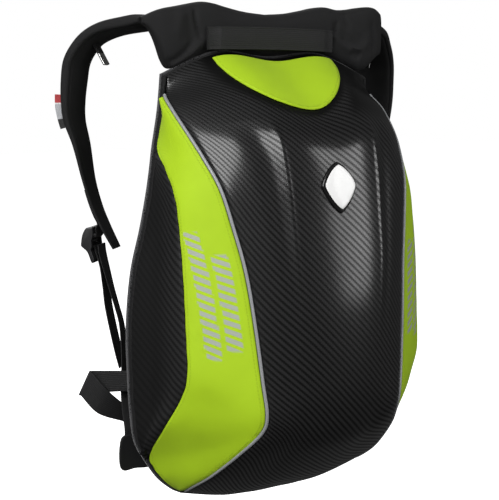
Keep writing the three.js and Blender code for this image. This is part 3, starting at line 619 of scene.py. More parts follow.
PACK = PackBody()
BAND, EDGE, FAR_EDGE = 1, 2, 6
SEAM_GAP = 0.3
PIPING_RADIUS = 1.6
PIPING_SLOT = PIPING_RADIUS + 2 * SEAM_GAP


# Finishes


@dataclass(frozen=True)
class Finish:
    """A finish: the record's slot, and the material made for it once."""

    slot: str
    colour: tuple[float, float, float]
    name: str = ""

    def paint(self, paint: Paint) -> None:
        """Build the material's nodes."""
        paint.set(Base_Color=self.colour)

    def material(self) -> bpy.types.Material:
        """The finish's material, made on its first use."""
        name = f"dressed_{self.name or self.slot}"
        found = bpy.data.materials.get(name)
        if found:
            return found
        paint = Paint(name)
        self.paint(paint)
        return paint.material


def twill_height(paint: Paint, tow: float) -> tuple[Sock, Sock]:
    """Height and warp mask of a two-over-two twill on a piece's own map.

    The map is cut into square cells a tow wide. A cell shows its warp where its
    column less its row, counted round in fours, is under two, so that the cells
    run down to the right in stripes. Each tow is rounded across its own way.
    """
    u, v = paint.uv()
    column, row = u / tow, v / tow
    step = (row.floor() - column.floor()) / 4.0
    warp = step.fraction() < 0.49
    round_warp = (column.fraction() * math.pi).sine()
    round_weft = (row.fraction() * math.pi).sine()
    tows = warp * round_warp + (1 - warp) * round_weft
    stripe = ((row - column) / 4.0).fraction()
    ridge = (stripe * (2 * math.pi)).sine() * 0.5 + 0.5
    return tows * 0.35 + ridge * 0.65, warp


@dataclass(frozen=True)
class CarbonTwill(Finish):
    """A skin embossed with carbon twill: glossy raised stripes, dull hollows."""

    pale: tuple[float, float, float] = (0.013, 0.013, 0.0132)
    tow: float = 1.69
    relief: float = 0.0002
    rough: float = 0.5
    coat: float = 0.9
    coat_rough: float = 0.22
    plain_coat: float = 0.4

    def paint(self, paint: Paint) -> None:
        """Twill in colour, coat and bump, fading where the skin is plain."""
        height, warp = twill_height(paint, self.tow)
        plain = paint.attribute("plain")
        show = 1 - plain
        grime = paint.noise(24.0)
        stripe = height.ramp(0.2, 0.8)
        shine = show * (stripe * 0.75 + 0.25) * self.coat + plain * self.plain_coat
        paint.set(
            Base_Color=paint.mix(stripe * show * 0.95 + warp * show * 0.05, self.colour, self.pale),
            Roughness=self.rough + grime * 0.1,
            Specular_IOR_Level=0.2,
            Coat_Weight=shine * (0.9 + grime * 0.2),
            Coat_Roughness=self.coat_rough,
        )
        paint.bump(height * show + paint.noise(900.0) * 0.12, self.relief)


@dataclass(frozen=True)
class NeonCloth(Finish):
    """Bright laminated cloth in a fine plain weave, with a stitched line by its edge."""

    bar: tuple[float, float, float] = (0.33, 0.36, 0.30)

    def paint(self, paint: Paint) -> None:
        """Weave, faint mottle, stitches near the seams, painted shade along the seams and grey slanted bars."""
        weave = paint.threads("Z", 480.0, 0.6, 2.0)
        weft = paint.threads("X", 480.0, 0.6, 2.0)
        mottle = paint.noise(40.0, 4.0)
        near_seam = paint.attribute("seam")
        bars = paint.attribute("bars")
        u, v = paint.uv()
        lean = (v + u * 0.42) / 8.2
        bar = (lean.fraction() > 0.4) * bars
        stitch = ((v / 3.2).fraction() > 0.35) * ((near_seam - 3.4).absolute() < 0.5)
        deep = tuple(0.72 * c for c in self.colour)
        base = paint.mix(mottle * 0.35 + weave * 0.1, self.colour, deep)
        base = paint.mix(stitch * 0.55, base, deep)
        # Painted shade: the cloth darkens towards its seam, by up to 45 % within the last 2 mm, where it turns
        # into the seam.
        base = paint.mix(near_seam.ramp(2.2, 0.2) * 0.45, base, deep)
        paint.set(
            Base_Color=paint.mix(bar, base, self.bar),
            Roughness=0.62 - bar * 0.25 + weave * 0.06,
            Specular_IOR_Level=0.25,
            Sheen_Weight=0.03,
            Sheen_Roughness=0.5,
        )
        paint.bump(weave * 0.5 + weft * 0.5 + mottle * 1.5 - stitch * 2.0, 0.00012)


@dataclass(frozen=True)
class BlackCloth(Finish):
    """Black woven nylon with a soft sheen and small slubs."""

    pale: tuple[float, float, float] = (0.011, 0.011, 0.0115)
    scale: float = 420.0
    rough: float = 0.7

    def paint(self, paint: Paint) -> None:
        """Crossed fine threads in bump and tone, on Object coordinates."""
        weave = paint.threads("Z", self.scale, 1.2, 1.0) * 0.5 + paint.threads("X", self.scale, 1.2, 1.0) * 0.5
        wear = paint.noise(30.0, 5.0)
        paint.set(
            Base_Color=paint.mix(weave * 0.5 + wear * 0.5, self.colour, self.pale),
            Roughness=self.rough + wear * 0.12,
            Specular_IOR_Level=0.3,
            Sheen_Weight=0.02,
            Sheen_Roughness=0.45,
        )
        paint.bump(weave + wear * 1.5, 0.00018)


@dataclass(frozen=True)
class WebbingFinish(Finish):
    """Ribbed webbing: ribs along its length, slanted picks across it."""

    pale: tuple[float, float, float] = (0.014, 0.014, 0.0145)
    rib: float = 1.9

    def paint(self, paint: Paint) -> None:
        """Ribs and picks on the band's own map, across (u) and along (v)."""
        u, v = paint.uv()
        across = u / self.rib
        zig = (across.fraction() - 0.5).absolute() * 1.1
        pick = ((v / 1.3 + zig * 2.0).fraction() * math.pi).sine()
        rib = (across.fraction() * math.pi).sine()
        height = rib * 0.6 + pick * 0.5
        paint.set(
            Base_Color=paint.mix(height * 0.8, self.colour, self.pale),
            Roughness=0.72 - height * 0.12,
            Specular_IOR_Level=0.35,
            Sheen_Weight=0.02,
        )
        paint.bump(height + paint.noise(120.0) * 0.4, 0.00025)


@dataclass(frozen=True)
class Moulded(Finish):
    """Moulded plastic or metal: fine grain, and a darker tone that changes slowly at random."""

    rough: float = 0.34
    metal: float = 0.0
    coat: float = 0.0

    def paint(self, paint: Paint) -> None:
        """Grain in bump, a slow change in roughness."""
        grain = paint.noise(1600.0, 2.0)
        slow = paint.noise(60.0, 3.0)
        deep = tuple(0.75 * c for c in self.colour)
        paint.set(
            Base_Color=paint.mix(slow * 0.6, self.colour, deep),
            Roughness=self.rough + slow * 0.12,
            Metallic=self.metal,
            Coat_Weight=self.coat,
        )
        paint.bump(grain, 0.00004)


@dataclass(frozen=True)
class Reflective(Finish):
    """Grey reflective tape over the piping's cord, with a fine bead pattern."""

    def paint(self, paint: Paint) -> None:
        """Tiny beads by a Voronoi pattern, with a painted highlight on their tops."""
        beads = paint.cells(1400.0, 1.0)
        deep = tuple(0.6 * c for c in self.colour)
        # Painted highlight: the base colour is brightest at each bead's middle and darker towards its rim.
        paint.set(
            Base_Color=paint.mix(beads, self.colour, deep),
            Roughness=0.42 + beads * 0.2,
            Metallic=0.25,
        )
        paint.bump(1 - beads, 0.00006)


@dataclass(frozen=True)
class SpacerMesh(Finish):
    """Black spacer mesh over foam: small round holes in staggered rows."""

    def paint(self, paint: Paint) -> None:
        """Holes by a Voronoi pattern on Object coordinates, with painted shade in them."""
        hole = paint.cells(330.0, 0.25).ramp(0.45, 0.25)
        pale = (0.045, 0.045, 0.048)
        # Painted shade: the holes take the darker colour, the mesh between them the paler one.
        paint.set(
            Base_Color=paint.mix(1 - hole, self.colour, pale),
            Roughness=0.85,
            Sheen_Weight=0.2,
        )
        paint.bump(1 - hole, 0.0006)


@dataclass(frozen=True)
class WovenTab(Finish):
    """A small woven tab: red over grey, a pale line between, a black hem below."""

    grey: tuple[float, float, float] = (0.42, 0.43, 0.45)

    def paint(self, paint: Paint) -> None:
        """Bands along the tab's own map (v), fine threads across."""
        _, v = paint.uv()
        threads = ((v / 0.5).fraction() * math.pi).sine()
        base = paint.mix(v > 8.0, self.colour, (0.7, 0.7, 0.7))
        base = paint.mix(v > 9.4, base, self.grey)
        base = paint.mix(v > 24.0, base, (0.01, 0.01, 0.01))
        base = paint.mix(threads * 0.25, base, (0.02, 0.02, 0.02))
        paint.set(Base_Color=base, Roughness=0.7, Sheen_Weight=0.2)
        paint.bump(threads, 0.00012)


SHELL = CarbonTwill("shell_carbon", (0.0004, 0.0004, 0.0004))
GUSSET = CarbonTwill("gusset_carbon", (0.004, 0.004, 0.0041), pale=(0.014, 0.014, 0.0143), tow=1.95, rough=0.65,
                     coat=0.25, coat_rough=0.45, plain_coat=0.03)
BRIGHT = NeonCloth("bright_cloth", (0.37, 0.565, 0.011))
CLOTH = BlackCloth("black_cloth", (0.004, 0.004, 0.0042))
BACK = SpacerMesh("back_cloth", (0.003, 0.003, 0.0032))
WEB = WebbingFinish("webbing", (0.004, 0.004, 0.0042))
PLASTIC = Moulded("buckle_plastic", (0.018, 0.018, 0.019), rough=0.3)
RIM = Moulded("badge_rim", (0.006, 0.006, 0.006), rough=0.22, coat=0.5)
INLAY = Moulded("badge_face", (0.82, 0.82, 0.81), rough=0.28, coat=0.3)
STEEL = Moulded("ring_steel", (0.62, 0.62, 0.61), rough=0.18, metal=1.0)
PIPING = Reflective("reflective_piping", (0.36, 0.37, 0.38))
TAB = WovenTab("woven_tab", (0.42, 0.03, 0.035))


# Sub-assemblies


@dataclass
class CarbonShell:
    """The moulded shell: one wall between the two piped seams."""

    wall: float = 4.0
    levels: int = 240
    columns: int = 150
    roll: float = 1.3
    stripe_top: float = 0.66
    stripe_foot: float = 1.0
    stripe_left: float = 0.5
    left_reach: float = 70.0
    stripe_wider: float = 0.4
    wide_reach: float = 90.0

    def build(self) -> bpy.types.Object:
        """Outer face with its edges rolled in by an exponential drop, and inner face."""
        t = np.linspace(0, PACK.last, self.levels)
        margin = PACK.across_share(EDGE, t, PIPING_SLOT)
        share = np.linspace(0, 1, self.columns)
        us = EDGE + margin[:, None] + (FAR_EDGE - EDGE - 2 * margin[:, None]) * share
        laid = PACK.laid(us, t)
        to_edge = np.minimum(laid[..., 0] - laid[:, :1, 0], laid[:, -1:, 0] - laid[..., 0])
        lift = -self.roll * np.exp(-to_edge / 1.6)
        rings = PACK.wall(us, t, self.wall, lift, (EDGE, FAR_EDGE))
        level = np.broadcast_to(t[:, None], us.shape)
        slope = self.stripe_top + (self.stripe_foot - self.stripe_top) * smoothstep(level, 1.0, 9.0)
        steeper = self.stripe_left * (1 - smoothstep(level, 4.5, 9.0))
        leftwards = np.minimum(laid[..., 0], 0) ** 2 / (2 * self.left_reach)
        wider = self.stripe_wider * np.minimum(laid[..., 1] - self.wide_reach, 0) ** 2 / (2 * self.wide_reach)
        down = laid[..., 1] + wider + (1 - slope) * laid[..., 0] + steeper * leftwards
        twill = grid(laid[..., 0], down)
        plain = self.plain_zone(us, level)
        plain = np.concatenate([plain, np.ones_like(plain)], 1)
        return skin("carbon_shell", rings, both_faces(twill), numbers={"plain": plain})

    def plain_zone(self, u: Array, t: Array) -> Array:
        """One where the skin is smooth: round the top panel and to its right.

        Round the panel it is an ellipse in lines across and sections down.
        """
        across = u - PACK.crown + 0.05 * t**2
        beside = 1 - smoothstep(np.hypot(across / 1.16, t / 2.29), 1.08, 1.22)
        right = smoothstep(across, 0.9, 1.2) * (1 - smoothstep(t, 2.3, 3.1))
        return np.maximum(beside, right)

    def dress(self) -> None:
        """Build, finish and place the shell."""
        finish_piece(self.build(), SHELL, ["shell"])


@dataclass
class TopPanel:
    """Bright cloth on the shell's top, with a turned edge."""

    lift: float = 0.9
    thickness: float = 1.4
    lean: float = 0.05
    shrink_level: float = 0.9
    outline: tuple = (
        # steps out from the crown, steps down from the rim
        (1.16, 0.2), (1.14, 0.6), (1.07, 1.05), (0.96, 1.45),
        (0.78, 1.83), (0.52, 2.13), (0.26, 2.26), (0.0, 2.29),
    )

    def build(self) -> bpy.types.Object:
        """Rings of the outline shrunk towards a point, under and over.

        The outline leans to the left by a square law down the shell.
        """
        half = np.array(self.outline)
        half = along(half, np.linspace(0, len(half) - 1, 60))
        rim = np.linspace(-0.97, 0.97, 40)
        right = grid(PACK.crown + half[:, 0], half[:, 1])
        left = grid(PACK.crown - half[-2::-1, 0], half[-2::-1, 1])
        top = grid(PACK.crown + rim * half[0, 0], half[0, 1])
        loop = np.concatenate([right, left, top])
        loop[:, 0] -= self.lean * loop[:, 1] ** 2
        if len(loop) % 2:
            loop = loop[:-1]
        middle = np.array([PACK.crown, self.shrink_level])
        scale = 1 - np.linspace(1, 0.02, 40) ** 1.6
        scale = np.sort(np.concatenate([scale, [0.995]]))
        ring = middle + (loop - middle) * scale[:, None, None]
        u, t = ring[..., 0], ring[..., 1]
        dome = 1 - smoothstep(scale, 0.93, 1.0)[:, None] ** 2 * np.ones_like(u)
        over = PACK.point(u, t, self.lift + self.thickness * (0.35 + 0.65 * dome))
        under = PACK.point(u, t, np.full_like(u, self.lift))
        rings = np.concatenate([under, over[::-1]])
        edge = np.linalg.norm(over - over[-1:], axis=-1)
        seam = np.concatenate([edge, edge[::-1]])
        numbers = {"seam": seam, "bars": np.zeros(seam.shape)}
        return skin("bright_top_panel", rings, rings[..., [0, 2]], numbers=numbers)

    def dress(self) -> None:
        """Build and finish the panel."""
        finish_piece(self.build(), BRIGHT, ["top_panel"])


@dataclass
class SideWall:
    """A bright side panel, the piping before it and the gusset behind it."""

    side: Side
    wall: float = 3.0
    levels: int = 220
    panel_ends: tuple[float, float] = (1.2, 14.6)
    piping_ends: tuple[float, float] = (1.1, 14.75)
    gusset_ends: tuple[float, float] = (3.15, 11.9)

    def lines(self, first: float, last: float) -> tuple[float, float]:
        """The two lines across, mirrored for the right side."""
        return (first, last) if self.side is Side.LEFT else (PACK.lines - last, PACK.lines - first)

    def panel(self) -> bpy.types.Object:
        """Side panel between its back seam and the piping, softly dimpled by its seams.

        Short sine waves fade from the seams and long ones towards them; where no
        gusset stands behind the panel only the piped edge is drawn in.
        """
        t = np.linspace(*self.panel_ends, self.levels)
        start, end = self.lines(BAND, EDGE)
        left, right = (SEAM_GAP, -PIPING_SLOT) if self.side is Side.LEFT else (PIPING_SLOT, -SEAM_GAP)
        first = start + PACK.across_share(start, t, left)
        last = end + PACK.across_share(end, t, right)
        us = first[:, None] + (last - first)[:, None] * np.linspace(0, 1, 40)
        laid = PACK.laid(us, t)
        down = laid[..., 1]
        to_first = laid[..., 0] - laid[:, :1, 0]
        to_last = laid[:, -1:, 0] - laid[..., 0]
        from_edge = to_last if self.side is Side.LEFT else to_first
        seam = np.minimum(to_first, to_last)
        pucker = np.sin(down / 4.1 + 0.6 * np.sin(down / 19)) * np.exp(-seam / 5.0)
        slack = np.sin(down / 33 + to_first / 21) * (1 - np.exp(-seam / 12))
        free = smoothstep(t, 3.2, 4.2)[:, None] * (1 - smoothstep(t, 11.0, 12.0))[:, None]
        lift = free * (0.22 * pucker + 0.5 * slack - 0.9 * np.exp(-seam / 1.5))
        lift = lift - (1 - free) * 0.5 * np.exp(-from_edge / 1.5)
        rings = PACK.wall(us, t, self.wall, lift, (start, end))
        numbers = {"seam": both_faces(seam), "bars": both_faces(self.bars(from_edge, down))}
        uv = both_faces(grid(from_edge, down))
        return skin(f"bright_side_{self.side.word}", rings, uv, numbers=numbers)

    @staticmethod
    def bars(from_edge: Array, down: Array) -> Array:
        """One in the two columns of slanted bars, by distance from the shell's edge."""
        first = (from_edge > 11) & (from_edge < 26) & (down > 172) & (down < 262)
        second = (from_edge > 32) & (from_edge < 47) & (down > 150) & (down < 268)
        return (first | second).astype(float)

    def piping(self) -> bpy.types.Object:
        """A round cord along the seam line."""
        t = np.linspace(*self.piping_ends, 320)
        line = self.lines(BAND, EDGE)[1 if self.side is Side.LEFT else 0]
        us = np.full_like(t, line)
        normal = PACK.normal(us, t)
        centre = PACK.point(us, t, np.full_like(t, -0.5 * PIPING_RADIUS))
        tangent = unit(np.gradient(centre, axis=0))
        across = unit(np.cross(tangent, normal))
        angle = (np.arange(14) + 0.5) / 14 * 2 * np.pi
        rings = (
            centre[:, None]
            + PIPING_RADIUS * np.cos(angle)[None, :, None] * across[:, None]
            + PIPING_RADIUS * np.sin(angle)[None, :, None] * normal[:, None]
        )
        return skin(f"seam_piping_{self.side.word}", rings)

    def gusset(self) -> bpy.types.Object:
        """Soft wall from the bound back edge to the panel's back seam."""
        t = np.linspace(*self.gusset_ends, 170)
        start, end = self.lines(0, BAND)
        left, right = (0.0, -SEAM_GAP) if self.side is Side.LEFT else (SEAM_GAP, 0.0)
        first = start + (PACK.across_share(start, t, left) if left else 0 * t)
        last = end + (PACK.across_share(end, t, right) if right else 0 * t)
        us = first[:, None] + (last - first)[:, None] * np.linspace(0, 1, 60)
        laid = PACK.laid(us, t)
        width = laid[:, -1:, 0] - laid[:, :1, 0]
        share = (laid[..., 0] - laid[:, :1, 0]) / np.maximum(width, 1)
        from_panel = (1 - share if self.side is Side.LEFT else share) * width
        sag = -0.04 * width * np.sin(np.pi * share) ** 2
        wave = 0.8 * np.sin(laid[..., 1] / 23 + 2.2 * share) * np.sin(np.pi * share)
        lift = np.clip(sag, -3.0, 0) + wave - 0.8 * np.exp(-from_panel / 1.5)
        rings = PACK.wall(us, t, self.wall, lift, (start, end))
        twill = grid(laid[..., 0], laid[..., 1] + 0.2 * laid[..., 0])
        plain = 0.75 * smoothstep(from_panel, 12, 45)
        numbers = {"plain": both_faces(plain)}
        return skin(f"soft_gusset_{self.side.word}", rings, both_faces(twill), numbers=numbers)

    def dress(self) -> None:
        """Build and finish the side's three pieces."""
        word = self.side.word
        finish_piece(self.panel(), BRIGHT, [f"side_panel_{word}"])
        finish_piece(self.piping(), PIPING, [f"piping_{word}"])
        finish_piece(self.gusset(), GUSSET, [f"gusset_{word}"])


@dataclass
class EdgeBinding:
    """Folded tape over the back edge of shell, panels and gussets."""

    step: float = 1.0
    depth: float = 11.2
    thickness: float = 3.2

    def build(self) -> bpy.types.Object:
        """A rounded section carried round the rim, pinched along its row of stitches."""
        rim = PACK.rim()
        tangent = unit(np.roll(rim, -3, 0) - np.roll(rim, 3, 0))
        outward = np.stack([tangent[:, 1], -tangent[:, 0]], -1)
        middle = rim.mean(0)
        outward *= np.sign(np.sum(outward * (rim - middle), -1))[:, None]
        c, s = superellipse(20, 0.55, 0.35)
        across = self.step - self.thickness / 2 + self.thickness / 2 * c
        forward = self.depth / 2 + self.depth / 2 * s
        length = np.arange(len(rim)) * 2.2
        pinch = -0.45 * np.exp(-(((forward - 0.68 * self.depth) / 0.9) ** 2)) * (c > 0)
        off = across + pinch + 0.2 * np.sin(length / 7.3)[:, None] * (c > 0)
        rings = grid(rim[:, :1] + outward[:, :1] * off, forward, rim[:, 1:] + outward[:, 1:] * off)
        return skin("back_edge_binding", rings, grid(forward, length[:, None]), closed=True)

    def dress(self) -> None:
        """Build and finish the binding."""
        finish_piece(self.build(), CLOTH, ["edge_binding"])


@dataclass
class BackPanel:
    """Board inside the binding with a padded, channelled spacer-mesh face."""

    inset: float = 16.0
    board: float = 5.6
    board_thickness: float = 4.0
    lap: float = 2.5
    upright_channels: tuple[float, ...] = (-62.0, 62.0)
    level_channels: tuple[float, ...] = (120.0, 228.0, 336.0)
    channel_depth: float = 5.0
    channel_width: float = 5.5
    centre_share: float = 0.004

    def channels(self, x: Array, z: Array) -> Array:
        """Bells across the quilting lines, one on a line and nought beside it."""
        upright = sum(np.exp(-(((x - place) / self.channel_width) ** 2)) for place in self.upright_channels)
        level = sum(np.exp(-(((z - place) / self.channel_width) ** 2)) for place in self.level_channels)
        return np.minimum(upright + level * (np.abs(x) < self.upright_channels[1] + 4), 1)

    def build(self) -> bpy.types.Object:
        """Rings of the rim's outline shrunk inwards, pressed in along the channels."""
        rim = PACK.rim()
        middle = np.array([0.0, PACK.height / 2])
        size = np.linalg.norm(rim - middle, axis=1)
        back = self.board - self.board_thickness
        board = [(-self.lap, self.board), (-self.lap, back)]
        board += [(inset, back) for inset in np.linspace(4, self.inset, 5)]
        shoulder = [(self.inset + past, rise) for past, rise in ((1, -1.5), (3, -5.5), (6, -8.6), (10, -9.8))]
        face = [(inset, -PACK.pad) for inset in np.linspace(self.inset + 14, size.min() - 2, 60)]
        inset, forward = np.array(board + shoulder + face).T[..., None]
        share = 1 - np.minimum(inset / size, 1)
        share[-1] = self.centre_share
        x, z = np.moveaxis(middle + (rim - middle) * share[..., None], -1, 0)
        depth = forward + np.where(forward < -1, self.channel_depth * self.channels(x, z), 0)
        centre = grid(x[:1] * self.centre_share, self.board, np.full_like(z[:1], middle[1]))
        return skin("back_pad", np.concatenate([centre, grid(x, depth, z)]))

    def dress(self) -> None:
        """Build and finish the panel."""
        piece = finish_piece(self.build(), BACK, ["back_panel"])


YOKE_SECTIONS = (
    # side, front, back, lift and top in percent, as in the solids
    (0, 0, 100, 0, 80), (18, 0, 100, 0, 84), (34, 0, 100, 0, 92), (44, 0, 100, 0, 98),
    (54, 0, 100, 0, 100), (66, 1, 100, 0, 94), (73, 1, 98, 0, 90), (79, 2, 90, 2, 87),
    (84, 4, 74, 22, 84), (88, 8, 62, 50, 81), (92, 14, 56, 76, 77), (96, 22, 54, 94, 72),
    (100, 32, 56, 103, 66),
)


@dataclass(frozen=True)
class Fold:
    """A fold in cloth between two places (x, height), its width and its depth."""

    start: tuple[float, float]
    end: tuple[float, float]
    width: float
    depth: float
    bow: float = 0.0

    def press(self, x: Array, z: Array) -> Array:
        """Height over the cloth: a bell across the fold, faded out at its ends.

        The fold's line is bent sideways by a parabola of height bow.
        """
        start, end = np.array(self.start), np.array(self.end)
        way = end - start
        length = np.linalg.norm(way)
        way = way / length
        along_fold = ((x - start[0]) * way[0] + (z - start[1]) * way[1]) / length
        beside = (x - start[0]) * -way[1] + (z - start[1]) * way[0]
        beside = beside - 4 * self.bow * along_fold * (1 - along_fold)
        fade = smoothstep(along_fold, -0.15, 0.2) * (1 - smoothstep(along_fold, 0.8, 1.15))
        return -self.depth * np.exp(-((beside / self.width) ** 2)) * fade


@dataclass
class Yoke:
    """Padded black cloth over the top, from which the straps leave."""

    half_width: float = 136.0
    depth: float = 34.0
    rise: float = 50.0
    lobe: float = 47.0
    foot_gap: float = 1.6
    right_lift: float = 13.0
    right_reach: float = 10.0
    right_hang: float = 0.5
    folds: tuple[Fold, ...] = (
        Fold((-84, 498), (-78, 470), 2.6, 3.4, bow=-2),
        Fold((-93, 490), (-87, 466), 5.0, 1.2),
        Fold((-77, 468), (-108, 440), 4.2, -2.6, bow=3),
        Fold((-88, 466), (-112, 446), 3.0, 2.0, bow=2),
        Fold((-98, 500), (-104, 470), 6.0, -1.4),
        Fold((76, 486), (120, 470), 4.0, 3.0, bow=-9),
        Fold((78, 478), (128, 478), 5.0, -2.4, bow=-14),
        Fold((100, 461), (112, 456), 4.5, 2.6),
        Fold((128, 492), (132, 460), 4.0, 2.0),
        Fold((82, 492), (74, 464), 2.8, 2.4),
        Fold((92, 500), (96, 484), 4.0, 1.4),
        Fold((-60, 500), (60, 496), 5.0, 1.0, bow=-2),
    )

    def rim_height(self, x: Array) -> Array:
        """Height of the shell's rim at a distance from the middle."""
        line = PACK.smooth(np.linspace(PACK.crown, FAR_EDGE, 60), 0.0)
        return np.interp(np.abs(x), line[:, 0], line[:, 2])

    def build(self) -> bpy.types.Object:
        """Rounded ovals along the width, pressed by the folds along their faces."""
        table = np.array(YOKE_SECTIONS, float)
        half = along(table, np.linspace(0, len(table) - 1, 130))
        hand = np.concatenate([-np.ones(len(half) - 1), np.ones(len(half))])
        rows = np.concatenate([half[:0:-1], half])
        side = hand * self.half_width * rows[:, 0] / 100
        front = PACK.rim_depth - self.depth * rows[:, 1] / 100
        back = PACK.rim_depth - self.depth * rows[:, 2] / 100
        right_end = smoothstep(side, 0.6 * self.half_width, 0.95 * self.half_width)
        lift = self.lobe * rows[:, 3] / 100 * (1 - self.right_hang * right_end)
        foot = self.rim_height(side) + self.foot_gap + lift
        top = PACK.height + self.rise * rows[:, 4] / 100 + self.right_lift * right_end
        side = side + self.right_reach * right_end
        c, s = superellipse(96, 0.62, 0.62)
        depth = (front + back)[:, None] / 2 + (front - back)[:, None] / 2 * c
        height = (foot + top)[:, None] / 2 + (top - foot)[:, None] / 2 * s
        rings = grid(side[:, None], depth, height)
        x, z = rings[..., 0], rings[..., 2]
        press = sum(fold.press(x, z) for fold in self.folds)
        press = press + 0.35 * np.sin(x / 9 + z / 14) * np.sin(z / 11 - x / 31)
        rings[..., 1] += press * np.clip(c, 0, 1) ** 0.5
        return skin("cloth_yoke", rings, grid(x, lengths(rings[100])))

    def dress(self) -> None:
        """Build and finish the yoke."""
        piece = finish_piece(self.build(), CLOTH, ["yoke"])


@dataclass
class HaulHandle:
    """A flat band across the yoke, bowed forward for the fingers."""

    half_length: float = 73.0
    lift: float = 3.0
    height: float = 22.0
    thickness: float = 3.0
    bow: float = 8.5

    def build(self) -> bpy.types.Object:
        """Rounded flat sections along the width; the bow is flat in the middle."""
        share = np.linspace(-1, 1, 140)
        bow = self.bow * (1 - share**4) * np.clip((1 - np.abs(share)) * 6, 0, 1)
        near = PACK.rim_depth + SEAM_GAP + bow
        middle = PACK.height + self.lift + self.height / 2
        c, s = superellipse(28, 0.22, 0.22)
        rise = s * self.height / 2
        hem = -0.5 * np.exp(-(((np.abs(rise) - 9.0) / 0.8) ** 2)) * (c > 0)
        depth = near[:, None] + self.thickness / 2 * (1 + c) + hem
        height = middle + rise + 0.8 * (1 - share**2)[:, None]
        x = (self.half_length * share)[:, None]
        return skin("haul_band", grid(x, depth, height), grid(rise, x))

    def dress(self) -> None:
        """Build and finish the handle."""
        finish_piece(self.build(), WEB, ["haul_handle"])


STRAP_STATIONS = (
    # out, back, drop, width and thickness in percent, turn in degrees
    (0, 3, 0, 96, 108, 8), (11, 24, 0, 100, 108, 14), (29, 42, 1, 100, 104, 25), (56, 61, 3, 100, 100, 38),
    (75, 79, 6.5, 100, 100, 46), (87, 89, 11.5, 100, 100, 47), (95, 96, 17.5, 99, 100, 47),
    (98, 99, 25, 97, 98, 47), (100, 100, 34, 92, 84, 47), (99, 99, 43, 84, 72, 47), (92, 92, 54, 71, 54, 47),
    (85, 85, 69.5, 57, 36, 47), (77, 78, 81, 50, 34, 47), (68, 69, 90, 45, 30, 47), (56, 57, 100, 37, 22, 47),
)


